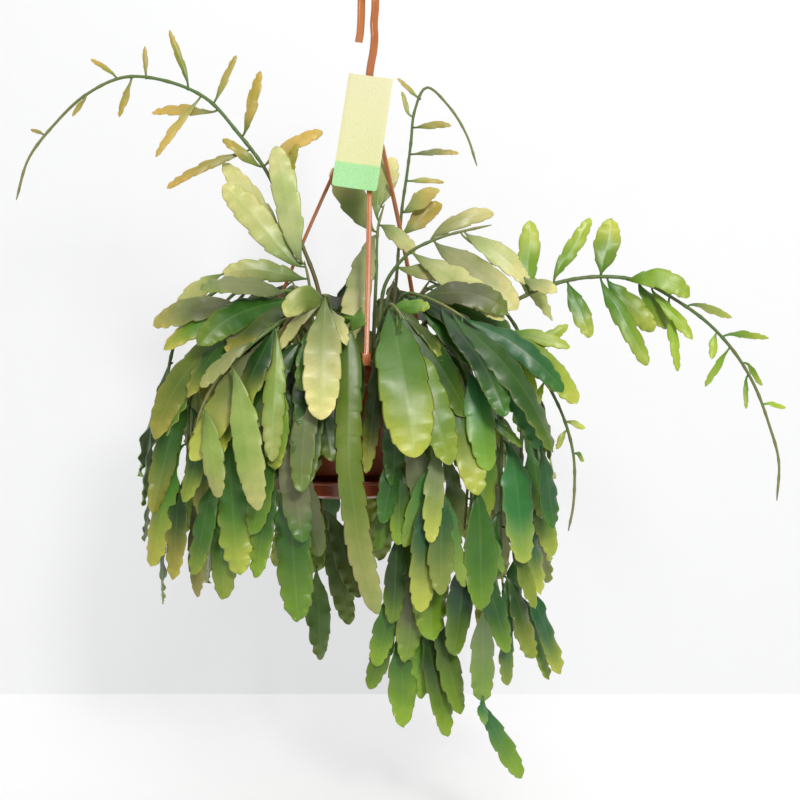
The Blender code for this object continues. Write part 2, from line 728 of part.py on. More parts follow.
def featured_shoots():
    """The stems that show in the front view, one by one."""
    return [
        Shoot("arching_stem_left", rooted((-3.6, 1.0), [
            (-3.9, 1, 2), (-4.9, 1.2, 7.3), (-7.8, 1.5, 14.0), (-9.6, 1.8, 17.4), (-13.6, 2.2, 22.3),
            (-16.0, 2.4, 23.9), (-19.3, 2.6, 24.7), (-22.3, 2.8, 24.6), (-24.8, 3, 23.2),
            (-26.7, 3, 21.6), (-28.7, 3, 19.4), (-30.6, 3, 16.6), (-31.2, 3, 14.0)], 14), [
            Blade((-22.3, 24.6), (-24.5, 2.4, 26.4), 0.5, 0.2),
            Blade((-19.3, 24.7), (-19.7, 2.4, 27.5), 0.5, 0.2),
            Blade((-16.0, 23.9), (-17.5, 2.4, 28.9), 0.6, 0.2),
            Blade((-13.6, 22.3), (-11.6, 2.4, 26.7), 0.7, 0.2),
            Blade((-11.2, 19.8), (-9.5, 2.2, 25.4), 1.0, 0.3),
            Blade((-9.4, 17.3), (-4.0, 2.6, 20.0), 1.3, 1.0),
            Blade((-7.8, 14.3), (-6.2, 2.8, 18.9), 0.9, 0.2),
            Blade((-20.7, 24.4), (-21.9, 3.2, 21.2), 0.7, 0.2),
            Blade((-14.9, 23.0), (-18.7, 3.4, 17.7), 0.8, 0.6),
            Blade((-13.2, 21.8), (-19.3, 1.6, 21.8), 1.0, 0.8),
            Blade((-11.4, 18.2), (-17.8, 3.2, 15.0), 0.9, 1.0),
            Blade((-9.6, 17.1), (-12.8, 3.2, 19.3), 1.0, 0.2),
            Blade((-24.8, 23.2), (-25.9, 3.6, 21.2), 0.5, 0.1),
            Blade((-28.7, 19.4), (-29.9, 2.6, 20.2), 0.4, 0.1),
        ], front_share=0.9),
        Shoot("upper_left_shoot", rooted((-4.9, 3.1), [
            (-4.9, 3.4, 2.0), (-5.1, 3.8, 6.0), (-5.6, 4.0, 8.6)], 7), [
            Blade((-5.3, 8.0), (-12.7, 4.2, 15.2), 2.4, 0.8),
            Blade((-5.6, 8.6), (-13.0, 1.6, 17.4), 2.0, 0.6, -15),
            Blade((-5.5, 8.5), (-8.4, 4.4, 18.2), 2.2, -0.3),
            Blade((-5.1, 7.0), (-12.6, 5.8, 7.4), 1.8, 1.6, 20),
            Blade((-12.4, 7.5), (-17.0, 4.6, 4.2), 1.6, 0.4, 10, 3),
        ], front_share=0.85),
        Shoot("middle_shoot", rooted((0.4, 1.2), [
            (0.5, 0.8, 3), (0.7, 0.2, 8), (0.8, -1.0, 11.6), (1.4, -2, 14)], 8), [
            Blade((0.8, 11.4), (-3.4, -3.5, 17.5), 2.5, 0.3),
            Blade((0.9, 12.2), (1.7, -2.6, 19.0), 1.4, 0),
            Blade((1.4, 14.0), (3.2, -3.6, 18.6), 1.9, 0),
            Blade((0.7, 11.0), (-1.9, 6.4, 1.2), 2.2, 1.4),
            Blade((0.8, 12.0), (4.2, 1.6, 9.4), 1.5, 0.6),
        ], front_share=0.9),
        Shoot("thin_stem_behind", rooted((2.0, -3.4), [
            (2.2, -4.6, 3.5), (2.5, -5, 7.0), (2.95, -5, 13.0), (3.4, -5, 16.2), (4.1, -5, 21.7),
            (4.4, -5, 24.4), (5.05, -5, 25.2), (6.7, -5, 24.4), (8.3, -5, 22.1), (9.5, -5, 20.0),
            (10.15, -5, 17.8)], 13), [
            Blade((4.0, 21.4), (7.7, -4.4, 21.5), 0.8, 0.5),
            Blade((3.7, 18.8), (8.4, -4.2, 18.9), 0.7, 0.5),
            Blade((3.4, 16.2), (7.0, -4.4, 16.2), 0.6, 0.4),
            Blade((2.9, 13.2), (6.6, -3.6, 15.4), 1.9, 1.0, 20),
            Blade((2.8, 11.4), (6.9, -5.6, 14.2), 1.8, 1.0, -20),
            Blade((4.1, 22.4), (3.0, -5.4, 24.8), 0.5, 0.1),
            Blade((4.4, 24.4), (2.6, -5.0, 26.0), 0.5, 0.1),
        ], front_share=0.9, radius=THIN_STEM_RADIUS),
        Shoot("middle_right_shoot", rooted((1.2, 3.4), [
            (1.0, 3.2, 2), (1.1, 3, 4.2), (1.6, 3, 6.7), (3.5, 3, 9.2), (5.9, 3, 10.5), (8.2, 3, 11.2),
            (11.0, 3, 11.8)], 11), [
            Blade((5.4, 10.3), (11.3, 1.8, 12.9), 1.4, 1.6),
            Blade((8.2, 11.2), (16.6, 2.4, 3.3), 1.7, 4.0, 25),
            Blade((8.6, 11.3), (14.5, 4.0, 6.3), 2.0, 1.4),
            Blade((6.0, 10.4), (13.0, 6.2, 4.3), 2.8, 1.2),
            Blade((3.9, 9.4), (11.6, 7.6, 3.4), 2.3, 1.6),
            Blade((2.6, 8.2), (6.6, 4.6, 7.0), 1.4, 0.6),
            Blade((13.4, 7.0), (15.8, 4.4, 3.4), 1.6, 0.3, 0, 2),
        ], front_share=0.8),
        Shoot("arching_stem_right", rooted((2.4, 1.4), [
            (3.4, 2.6, 0.9), (5.6, 4.1, 1.6), (7.6, 4.4, 2.2), (10.5, 4.5, 3.6), (13.2, 4.5, 5.2),
            (15.3, 4.5, 6.1), (17.6, 4.5, 6.9), (20.3, 4.5, 7.2), (23.1, 4.5, 7.1), (26.6, 4.5, 5.5),
            (30.4, 4.5, 2.8), (33.1, 4.5, -0.4), (35.0, 4.5, -4.0), (36.0, 4.5, -7.2),
            (36.6, 4.5, -9.3), (36.5, 4.5, -12.7)], 15), [
            Blade((14.3, 5.7), (14.5, 3.4, 12.2), 1.8, 0),
            Blade((16.7, 6.6), (19.7, 3.4, 12.4), 1.3, -0.3),
            Blade((20.3, 7.2), (21.6, 3.6, 12.3), 2.1, 0),
            Blade((22.9, 7.1), (27.9, 6.4, 5.4), 1.8, 2.4),
            Blade((17.5, 6.9), (19.4, 6.0, 1.9), 1.6, 0.4),
            Blade((20.2, 7.2), (24.3, 6.6, -0.5), 1.6, 0.8),
            Blade((21.2, 7.2), (24.6, 5.2, 2.4), 1.9, 0.4, -20),
            Blade((23.7, 6.9), (26.5, 4.0, 2.6), 1.9, 0.5, 15),
            Blade((25.1, 6.3), (28.4, 5.8, 1.7), 1.1, 0.5),
            Blade((26.6, 5.5), (27.3, 5.2, -1.1), 0.9, 0.2),
            Blade((28.2, 4.9), (32.4, 3.6, 3.6), 0.8, 0.3),
            Blade((31.5, 1.8), (35.6, 4.0, 1.8), 0.7, 0.4),
            Blade((30.9, 2.4), (30.2, 5.4, 0.0), 0.8, 0),
            Blade((32.0, 1.2), (29.9, 4.4, -2.5), 0.7, 0),
            Blade((33.1, -0.4), (35.0, 4.4, -2.4), 0.6, 0),
            Blade((33.7, -1.6), (33.3, 5.4, -4.4), 0.5, 0),
            Blade((35.0, -4.0), (37.1, 4.4, -4.4), 0.5, 0.1),
        ], front_share=0.9),
        Shoot("lower_stem_right", rooted((3.4, 3.6), [
            (4.6, 4.9, 1.0), (6.6, 6.2, 2.3), (9.7, 6.8, 3.2), (11.1, 6.8, 2.7), (13.0, 6.8, 1.1),
            (14.4, 6.8, 0), (15.5, 6.8, -1.8), (16.5, 6.8, -3.8), (17.3, 6.8, -5.5), (17.8, 6.8, -7.7),
            (18.1, 6.8, -9.4), (18.0, 6.8, -12.8), (17.6, 6.8, -15.0)], 15), [
            Blade((11.8, 2.2), (17.4, 8.0, 1.1), 1.2, 0.8),
            Blade((11.1, 2.7), (17.9, 8.4, -3.6), 2.4, 2.2),
            Blade((14.0, 0.4), (17.5, 6.0, 3.0), 1.1, 0.2),
            Blade((13.2, 1.0), (12.2, 8.6, -1.2), 1.1, 0),
            Blade((13.6, 0.6), (14.2, 8.2, -3.6), 1.5, 0.2),
            Blade((15.5, -1.8), (14.4, 7.4, -4.7), 0.7, 0),
            Blade((17.3, -5.5), (18.9, 7.4, -5.9), 0.6, 0),
            Blade((17.4, -6.2), (16.4, 7.6, -7.7), 0.6, 0),
            Blade((17.9, -8.3), (18.9, 6.6, -8.9), 0.5, 0),
        ], front_share=0.8, radius=THIN_STEM_RADIUS),
        Shoot("front_right_fan", rooted((0.4, 5.2), [
            (1.0, 6.6, 2.4), (1.8, 8.4, 4.6), (2.4, 10.4, 4.6), (3.2, 11.6, 3.6)], 8), [
            Blade((1.9, 4.6), (4.05, 14.0, -7.5), 3.1, 1.7),
            Blade((2.6, 4.4), (6.9, 13.0, -8.3), 2.6, 1.4),
            Blade((2.2, 4.6), (6.2, 10.6, -0.1), 1.2, 1.4, 30),
            Blade((1.8, 4.4), (5.4, 8.8, 4.6), 1.5, 0.5),
            Blade((1.4, 3.8), (0.0, 10.6, -9.4), 1.6, 1.0),
            Blade((3.2, 3.6), (2.6, 12.0, -8.8), 2.1, 0.2, 15),
        ], front_share=0.6),
        Shoot("front_left_fan", rooted((-3.0, 4.8), [
            (-3.0, 6.6, 2.6), (-3.2, 8.6, 5.2), (-3.5, 10.6, 5.6)], 7), [
            Blade((-3.4, 5.6), (-3.6, 13.4, -4.6), 2.9, 1.2),
            Blade((-3.1, 5.0), (-6.6, 11.2, 3.8), 2.2, 2.6, 40),
            Blade((-3.3, 5.3), (-7.4, 9.8, 0.9), 1.0, 1.6),
            Blade((-3.0, 4.4), (-1.6, 11.2, 1.4), 1.2, 1.2, 20),
        ], front_share=0.7),
        Shoot("front_strap", rooted((-1.2, 6.4), [
            (-1.3, 7.6, 1.6), (-1.5, 9.4, 3.2), (-1.6, 10.8, 1.8)], 7), [
            Blade((-1.5, 2.8), (-1.4, 12.2, -8.2), 2.3, 0.7),
            Blade((-1.4, -8.0), (-0.6, 12.0, -15.2), 2.1, 0.1, 0, 0),
            Blade((-0.6, -15.0), (1.0, 11.6, -21.6), 2.2, 0.1, 0, 1),
        ], front_share=0.8),
        Shoot("left_pale_shoot", rooted((-4.2, 5.0), [
            (-5.2, 6.6, 2.4), (-6.6, 8.6, 3.6), (-8.4, 10.4, 2.4), (-10.3, 11, 0.8), (-12.1, 11.2, -1.1),
            (-13.3, 11, -2.9), (-14.3, 10.8, -5.5)], 10), [
            Blade((-7.6, 3.0), (-7.7, 12.2, -8.2), 1.8, 1.0, 25),
            Blade((-11.4, -0.2), (-8.8, 13.2, -12.1), 2.3, 0.8),
            Blade((-9.4, 1.6), (-13.6, 12.2, -2.0), 1.3, 0.8),
            Blade((-13.6, -3.8), (-12.2, 12.2, -11.2), 1.8, 0.4),
        ], front_share=0.6),
        Shoot("left_arch_shoot", rooted((-5.6, 1.6), [
            (-6.0, 2.8, 2.2), (-6.2, 4.6, 5.6), (-8.0, 5.8, 5.8), (-10.8, 6.8, 4.0)], 8), [
            Blade((-6.4, 5.8), (-17.2, 8.4, 0.9), 2.0, 2.8),
            Blade((-10.4, 4.2), (-17.8, 5.4, 1.4), 2.2, 1.6),
            Blade((-10.8, 4.0), (-18.5, 8.4, -6.9), 2.4, 4.2, 15),
            Blade((-9.0, 5.2), (-14.6, 9.8, -4.0), 2.0, 2.2, -10),
        ], front_share=0.6),
        Shoot("left_front_hanging", rooted((-6.4, 3.8), [
            (-8.0, 5.2, 1.8), (-10.4, 7.2, 1.2), (-12.0, 8.2, -2.0), (-12.6, 8.6, -7.0),
            (-12.0, 8.6, -12.0)], 9), [
            Blade((-12.5, -6.0), (-10.8, 10.2, -18.2), 2.9, 0.4),
            Blade((-12.2, -10.0), (-15.0, 9.0, -18.4), 2.0, 0.3),
            Blade((-11.6, 0.2), (-12.6, 10.0, -8.4), 2.2, 0.8),
            Blade((-12.4, -4.4), (-15.6, 9.6, -12.0), 2.0, 0.5),
            Blade((-12.0, -11.8), (-12.4, 8.8, -20.6), 2.2, 0.2),
        ], front_share=0.6),
        Shoot("left_hanging", rooted((-7.6, 1.2), [
            (-9.8, 2.4, 1.8), (-13.0, 4.0, 1.6), (-15.4, 5.2, -2.6), (-15.8, 5.8, -8.0),
            (-15.8, 6.0, -12.0)], 9), [
            Blade((-15.8, -7.6), (-19.2, 6.2, -18.3), 2.4, 0.4),
            Blade((-15.8, -10.6), (-17.3, 7.6, -19.3), 2.0, 0.3),
            Blade((-15.0, -1.8), (-18.6, 7.6, -13.4), 2.0, 1.6, 60),
            Blade((-15.8, -11.8), (-15.0, 6.4, -21.0), 1.6, 0.2),
            Blade((-15.6, -4.4), (-14.2, 7.0, -14.0), 2.2, 0.5),
        ], front_share=0.6),
        Shoot("front_left_inner", rooted((-5.4, 5.4), [
            (-6.2, 7.2, 1.0), (-6.9, 9.2, 0.8), (-7.2, 10.0, -3.0), (-6.9, 10.0, -9.0)], 8), [
            Blade((-7.1, -2.6), (-4.0, 11.2, -8.0), 2.7, 0.6, 15),
            Blade((-6.9, -8.6), (-5.8, 10.4, -22.1), 3.0, 0.2),
            Blade((-7.2, -4.6), (-9.6, 10.6, -14.6), 2.1, 0.3),
            Blade((-6.9, -7.6), (-9.0, 10.4, -18.4), 1.9, 0.2),
        ], front_share=0.6),
        Shoot("front_left_cover", rooted((-3.8, 6.2), [
            (-4.2, 7.4, 1.6), (-5.0, 9.0, 1.8), (-5.6, 10.2, -0.8)], 6), [
            Blade((-5.2, 1.2), (-5.0, 12.6, -10.2), 2.5, 0.8),
            Blade((-4.8, 1.6), (-8.9, 12.2, -6.4), 2.2, 1.2),
            Blade((-4.6, 1.7), (-2.8, 12.0, -8.2), 2.0, 1.0),
            Blade((-5.6, -0.6), (-7.2, 10.8, -10.8), 2.0, 0.2),
        ], front_share=0.6),
        Shoot("right_front_hanging", rooted((1.8, 5.8), [
            (3.0, 7.2, 1.4), (5.0, 9.0, 2.2), (6.0, 10.4, -1.0), (6.0, 11.0, -6.0), (5.8, 11.2, -11.0)], 9), [
            Blade((6.0, -0.8), (9.4, 12.2, -11.0), 2.4, 0.6),
            Blade((5.9, -7.0), (5.4, 12.6, -14.9), 1.7, 0.4),
            Blade((5.8, -10.2), (6.4, 12.8, -19.4), 2.1, 0.3),
            Blade((5.8, -11.0), (8.4, 12.0, -18.9), 1.3, 0.3),
            Blade((5.9, -8.6), (3.2, 11.0, -15.6), 1.5, 0.2),
            Blade((5.8, -10.8), (4.4, 11.2, -21.0), 2.2, 0.2),
        ], front_share=0.6),
        Shoot("right_long_hanging", rooted((2.8, 3.8), [
            (4.2, 5.0, 1.4), (7.0, 7.4, 1.8), (8.6, 9.4, -1.4), (8.9, 10.0, -7.0), (8.9, 10.0, -13.0),
            (9.2, 9.8, -18.0)], 9), [
            Blade((8.6, -0.6), (10.0, 11.4, -9.0), 2.6, 0.8),
            Blade((8.9, -10.4), (9.8, 11.2, -21.0), 2.8, 0.4),
            Blade((9.8, -20.8), (9.9, 11.0, -28.9), 2.3, 0.2, 0, 1),
            Blade((9.9, -28.7), (13.4, 10.0, -36.0), 1.8, -0.3, 0, 2),
            Blade((8.8, -4.2), (12.4, 12.4, -7.2), 0.9, 0.6),
            Blade((8.9, -12.0), (12.3, 11.6, -18.0), 1.0, 0.6),
            Blade((9.2, -17.6), (12.2, 9.8, -25.0), 2.1, 0.3),
            Blade((9.1, -16.0), (7.4, 10.0, -25.2), 2.3, 0.3),
            Blade((9.9, -28.3), (8.9, 11.4, -32.4), 1.1, 0, 0, 2),
        ], front_share=0.5),
        Shoot("right_dark_strap", rooted((2.6, 3.0), [
            (2.6, 4.2, 3.0), (3.0, 6.2, 5.6), (5.6, 8.0, 5.2), (8.4, 9.2, 3.6)], 8), [
            Blade((8.2, 3.7), (14.8, 10.2, -7.4), 2.6, 2.3),
            Blade((6.6, 4.8), (12.2, 11.4, -4.6), 2.2, 2.4),
            Blade((8.4, 3.6), (16.2, 8.4, -2.6), 2.0, 2.2, -15),
            Blade((14.7, -7.2), (15.2, 9.4, -14.4), 1.9, 0.2, 0, 0),
        ], front_share=0.5),
        Shoot("right_inner_long", rooted((2.4, 4.9), [
            (3.6, 6.0, 1.3), (5.4, 7.6, 0.4), (5.6, 8.0, -7.0), (4.8, 8.2, -12.0), (4.8, 8.2, -18.0),
            (5.8, 8.0, -23.0)], 9), [
            Blade((4.8, -12.0), (5.6, 9.6, -24.0), 3.1, 0.4),
            Blade((5.4, -22.0), (8.2, 8.4, -30.9), 2.0, 0.3),
            Blade((5.8, -23.0), (7.0, 7.6, -33.2), 2.0, 0.2),
            Blade((4.9, -10.6), (2.6, 9.0, -19.0), 1.8, 0.3),
            Blade((4.8, -17.0), (3.2, 8.2, -26.2), 2.3, 0.3),
            Blade((5.3, -21.0), (4.8, 7.0, -30.0), 2.1, 0.2),
            Blade((5.5, -0.6), (4.6, 10.6, -12.6), 2.3, 0.5),
        ], front_share=0.6),
        Shoot("right_side_hanging", rooted((3.9, 1.9), [
            (5.4, 2.9, 1.3), (9.0, 5.2, 1.5), (11.4, 6.8, -2.4), (11.6, 7.6, -8.0), (11.6, 7.8, -14.0),
            (11.8, 7.8, -20.0)], 9), [
            Blade((11.6, -6.8), (13.5, 9.6, -17.3), 2.9, 0.6),
            Blade((11.7, -14.6), (14.6, 8.6, -21.5), 1.5, 0.4),
            Blade((11.7, -18.6), (14.5, 8.2, -26.0), 2.0, 0.3),
            Blade((11.8, -20.0), (12.2, 8.2, -28.4), 1.6, 0.2),
            Blade((11.5, -4.8), (9.6, 8.6, -15.6), 2.2, 0.5),
            Blade((11.7, -13.0), (10.6, 8.4, -23.4), 2.3, 0.3),
        ], front_share=0.5),
        Shoot("right_outer_hanging", rooted((4.2, -0.4), [
            (6.2, 0.2, 1.6), (10.0, 2.0, 2.0), (13.2, 3.8, -2.6), (13.6, 4.6, -9.0), (13.4, 5.0, -16.0),
            (13.4, 5.0, -22.0)], 9), [
            Blade((13.5, -6.6), (15.4, 6.0, -14.2), 1.9, 0.5),
            Blade((13.5, -13.0), (15.4, 5.6, -21.0), 1.8, 0.4),
            Blade((13.4, -19.6), (17.2, 5.6, -28.2), 2.0, 0.4),
            Blade((13.4, -21.6), (16.4, 4.0, -29.2), 1.6, 0.2),
            Blade((13.6, -9.6), (16.2, 4.6, -17.6), 2.1, 0.4, -20),
            Blade((13.4, -17.0), (12.8, 6.2, -25.0), 2.0, 0.2),
        ], front_share=0.45),
        Shoot("centre_right_hanging", rooted((0.6, 6.0), [
            (1.4, 7.3, 1.3), (2.5, 9.2, 1.0), (3.0, 10.0, -2.5), (2.9, 9.8, -9.0), (2.7, 8.6, -17.0),
            (2.7, 7.0, -24.0)], 9), [
            Blade((2.9, -8.6), (2.6, 10.6, -15.4), 1.6, 0.2),
            Blade((2.8, -9.8), (0.9, 9.6, -16.2), 1.4, 0.2),
            Blade((2.7, -14.6), (2.2, 9.4, -22.6), 1.8, 0.2),
            Blade((2.7, -23.6), (3.2, 7.4, -32.4), 2.3, 0.2),
            Blade((2.7, -22.0), (1.0, 7.2, -29.0), 1.7, 0.2),
            Blade((2.7, -19.4), (0.6, 8.0, -26.6), 1.9, 0.2),
        ], front_share=0.6),
        Shoot("hanging_behind_pot", rooted((-3.4, -6.0), [
            (-3.6, -8.2, 1.2), (-4.0, -10.4, 1.2), (-4.6, -11.4, -4.0), (-5.0, -10.4, -12.0),
            (-4.8, -8.4, -18.0)], 9), [
            Blade((-5.0, -12.4), (-5.2, -6.8, -21.4), 2.2, 0.2),
            Blade((-5.2, -21.2), (-5.0, -6.2, -30.4), 2.5, 0.1, 0, 0),
            Blade((-4.9, -16.0), (-1.1, -6.6, -24.2), 2.2, 0.2),
            Blade((-4.8, -18.0), (-2.2, -8.4, -27.4), 2.1, 0.2),
            Blade((-4.6, -5.0), (-7.4, -12.6, -14.0), 2.4, 0.4),
            Blade((-4.5, -3.6), (-2.2, -13.0, -12.6), 2.5, 0.6),
        ], front_share=0.2),
    ]


def hanging_shoot(name, degrees, layer, rng):
    """A stem that stands in the soil, arches over the rim and hangs, with blades by turns
    left and right of it. The nearer its root is to the middle, the higher and farther it goes."""
    root_r, rise, reach, drop = ((7.2, 1.6, 11.2, 15.0), (5.0, 4.6, 14.2, 17.0),
                                 (2.8, 6.6, 17.2, 14.0))[layer]
    angle = math.radians(degrees)
    reach += rng.uniform(-0.6, 0.8)
    drop += rng.uniform(-2.5, 3.5)
    away = Vector((math.sin(angle), math.cos(angle)))

    def at(radius, up, drift=0.0):
        side = Vector((away.y, -away.x)) * drift
        return (POT_OFF_PLUMB / CM + away.x * radius + side.x, away.y * radius + side.y, up)

    drift = rng.uniform(-1.2, 1.2)
    points = [at(root_r + 0.6, 1.2), at((root_r + reach) / 2, rise), at(reach - 1.2, rise * 0.35),
              at(reach, -0.4 * drop, drift * 0.5), at(reach - 0.5, -drop, drift)]
    root = at(root_r, 0)
    blades = []
    count = 5
    top = rise * 0.7
    for number in range(count):
        share = (number + 0.2) / count
        up = top - (drop + top) * share
        side = (-1 if number % 2 else 1) * rng.uniform(1.6, 3.4)
        length = rng.uniform(8.5, 11.5)
        width = rng.uniform(2.1, 3.0)
        here = reach if number else (root_r + reach) / 2
        start = at(here, up, drift * share)
        end = at(here + rng.uniform(1.2, 2.4) + (0 if number else 3.0), up - length, drift * share + side)
        blades.append(Blade(start, end, width, rng.uniform(0.6, 1.4), rng.uniform(-22, 22)))
    return Shoot(name, rooted(root[:2], points, 7), blades, sides=3, front_share=0.0)


def crown_shoot(name, degrees, rng):
    """A short stem in the middle of the pot, with blades that fan out over the rim."""
    angle = math.radians(degrees)
    away = Vector((math.sin(angle), math.cos(angle)))
    across = Vector((away.y, -away.x))

    def at(radius, drift, up):
        return (POT_OFF_PLUMB / CM + away.x * radius + across.x * drift,
                away.y * radius + across.y * drift, up)

    root_r = rng.uniform(5.4, 6.2)
    points = [at(root_r + 0.3, 0, 2.0), at(root_r + 1.0, 0, 5.0), at(root_r + 2.4, 0, 7.2)]
    blades = []
    for number, drift in enumerate((-5.2, 4.4, -2.4, 1.6)):
        start = at(root_r + 0.8 + 0.5 * number, 0, 4.4 + 0.9 * number)
        end = at(rng.uniform(12.4, 15.6) - 0.3 * abs(drift), drift, rng.uniform(-3.6, 3.0))
        blades.append(Blade(start, end, rng.uniform(2.1, 2.9), rng.uniform(1.6, 2.8), 5 * drift))
    return Shoot(name, rooted(at(root_r, 0, 0)[:2], points, 5), blades, sides=3,
                 front_share=0.0)


# How each ruled stem is made, its name, its degrees from the front towards the right, and for
# a hanging stem its layer: 0 inner, 1 middle, 2 outer
RULED = [
    (hanging_shoot, "left_side_low", -84, 0),
    (hanging_shoot, "left_side_outer", -112, 2),
    (hanging_shoot, "left_high_outer", -76, 2),
    (hanging_shoot, "left_back_middle", -126, 1),
    (hanging_shoot, "left_back_outer", -148, 2),
    (hanging_shoot, "back_left_low", -164, 0),
    (hanging_shoot, "back_left_middle", -172, 1),
    (hanging_shoot, "back_outer", 178, 2),
    (hanging_shoot, "back_right_low", 160, 0),
    (hanging_shoot, "back_right_middle", 146, 1),
    (hanging_shoot, "back_right_outer", 128, 2),
    (hanging_shoot, "right_back_middle", 108, 1),
    (hanging_shoot, "right_side_outer", 92, 2),
    (hanging_shoot, "right_side_low", 82, 0),
    (crown_shoot, "crown_left", -96),
    (crown_shoot, "crown_back_left", -136),
    (crown_shoot, "crown_back", -176),
    (crown_shoot, "crown_back_right", 144),
    (crown_shoot, "crown_right", 104),
]


def grow_plant(holder):
    """Places every leafy stem clear of the holder and of the others: the featured ones first,
    then the ruled ones, each turned a little further until its stem is clear."""
    garden = Garden()
    for item in holder:
        item.data.calc_loop_triangles()
        points = [vertex.co for vertex in item.data.vertices]
        garden.add(item.name, (points, [tuple(t.vertices) for t in item.data.loop_triangles]))
    featured = [shoot for shoot in featured_shoots() if shoot.place_stem(garden)]
    for shoot in featured:
        shoot.place_blades(garden)
    rng = random.Random(SEED)
    ruled = []
    for make, name, degrees, *layer in RULED:
        for attempt in range(24):
            turn = (attempt + 1) // 2 * (3 if attempt % 2 else -3)
            shoot = make(name, degrees + turn, *layer, rng)
            if shoot.place_stem(garden):
                ruled.append(shoot)
                break
    for shoot in ruled:
        shoot.place_blades(garden, wide=True)
    return featured + ruled


def build_soil(shoots):
    """The soil fills the pot, and each stem stands in a plain hole in it."""
    top_r = BAND_RADIUS - WALL - GAP - 1 * MM
    low_z = POT_FLOOR_Z + WALL + GAP
    outline = [
        (0, low_z),
        (FLOOR_RADIUS - WALL - 4 * MM, low_z),
        (BODY_RADIUS - WALL - GAP - 0.8 * MM, BAND_LOW_Z - 2 * MM),
        (top_r - 0.6 * MM, SOIL_Z),
        (0, SOIL_Z),
    ]
    soil = add_object("soil", turned(outline, POT_OFF_PLUMB), "soil")
    holes = []
    for shoot in shoots:
        low = shoot.route[0] - Vector((0, 0, GAP))
        high = Vector((low.x, low.y, SOIL_Z + 5 * MM))
        radius = shoot.radii[0] + 2 * GAP
        holes.append(add_object("hole", round_bar([low, high], [radius, radius], shoot.sides), "soil"))
    return combine(soil, holes, "DIFFERENCE")


def main():
    clear_scene()
    holder = [build_pot(), build_saucer(), build_hook()]
    for name, out in zip(("strap_front", "strap_right", "strap_left"), strap_directions()):
        holder.append(build_strap(name, out))
    holder.append(build_label())
    shoots = grow_plant(holder)
    build_soil(shoots)
    for shoot in shoots:
        shoot.build()


main()
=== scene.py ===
import math
import random
from collections import namedtuple
from itertools import product

import bmesh
import bpy
import numpy as np
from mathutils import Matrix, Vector
from mathutils.bvhtree import BVHTree


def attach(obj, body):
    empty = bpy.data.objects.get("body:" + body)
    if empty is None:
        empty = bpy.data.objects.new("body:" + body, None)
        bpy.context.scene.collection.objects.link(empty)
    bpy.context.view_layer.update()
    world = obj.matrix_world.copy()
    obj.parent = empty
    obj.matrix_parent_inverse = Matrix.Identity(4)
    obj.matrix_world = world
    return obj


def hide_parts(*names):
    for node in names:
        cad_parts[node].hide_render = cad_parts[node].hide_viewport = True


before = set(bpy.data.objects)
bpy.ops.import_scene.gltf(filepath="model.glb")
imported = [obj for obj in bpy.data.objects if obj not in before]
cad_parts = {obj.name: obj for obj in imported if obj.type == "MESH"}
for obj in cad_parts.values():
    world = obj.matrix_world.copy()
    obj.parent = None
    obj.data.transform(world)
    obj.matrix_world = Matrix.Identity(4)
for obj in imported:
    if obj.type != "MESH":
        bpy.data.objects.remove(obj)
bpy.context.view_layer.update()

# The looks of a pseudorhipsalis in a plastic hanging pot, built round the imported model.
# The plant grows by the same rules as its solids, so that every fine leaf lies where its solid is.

MM = 0.001
CM = 0.01


# The camera, at the photograph's viewing angle

CAMERA_AT = (0.0285, -1.15, -0.278)
CAMERA_TILT = math.radians(85.3)        # a little down from level
FILM_WIDTH = 36                         # millimetres, as is the lens
LENS = 56.25


def make_camera():
    data = bpy.data.cameras.new("camera")
    data.sensor_width = FILM_WIDTH
    data.lens = LENS
    camera = bpy.data.objects.new("camera", data)
    camera.location = CAMERA_AT
    camera.rotation_euler = (CAMERA_TILT, 0, 0)
    bpy.context.scene.collection.objects.link(camera)
    bpy.context.scene.camera = camera
    bpy.context.scene.view_settings.view_transform = "Standard"


make_camera()

# Sizes, as in the solids

RIM_RADIUS = 88 * MM            # a 17 to 18 cm hanging pot
POT_HEIGHT = 102 * MM           # rim to the floor's underside
POT_TAPER = 22 * MM             # how much narrower the pot is at its floor
WALL = 1.8 * MM                 # moulded plastic
GAP = 0.3 * MM                  # left between pieces that touch

RIM_BELOW_HOOK = 332 * MM
HUB_BELOW_HOOK = 106 * MM
POT_OFF_PLUMB = -18 * MM        # the heavier right side pulls the pot to the left

FLANGE_WIDTH = 3.4 * MM         # the rim's edge, which the straps grip
FLANGE_THICK = 2 * MM
BAND_HEIGHT = 20 * MM           # the steeper band below the rim
BAND_STEP = 2.2 * MM            # where the band steps in to the body
BAND_TAPER = 0.4 * MM
DRAIN_RADIUS = 4 * MM
DRAINS_FROM_MIDDLE = 30 * MM

FOOT_INSET = 13 * MM            # the foot ring, from the floor's edge
FOOT_DROP = 18 * MM
BEAD = 1.6 * MM                 # on the foot ring, for the saucer's posts
SAUCER_RADIUS = 74 * MM
SAUCER_DEPTH = 16 * MM
SAUCER_LIP = 1.2 * MM
POST_WIDTH = 9 * MM             # the posts that clip the saucer on
POST_THICK = 2.5 * MM

FRONT_STRAP_ANGLE = math.radians(11.5)   # from the front, towards the right
STRAP_WIDTH = 4.6 * MM
STRAP_THICK = 2.2 * MM
STRAP_BOW = 3.5 * MM            # how far a strap is sprung outwards
GRIP_WIDTH = 7 * MM
GRIP_THICK = 1.6 * MM
GRIP_REACH = 2.6 * MM           # over and under the rim's edge

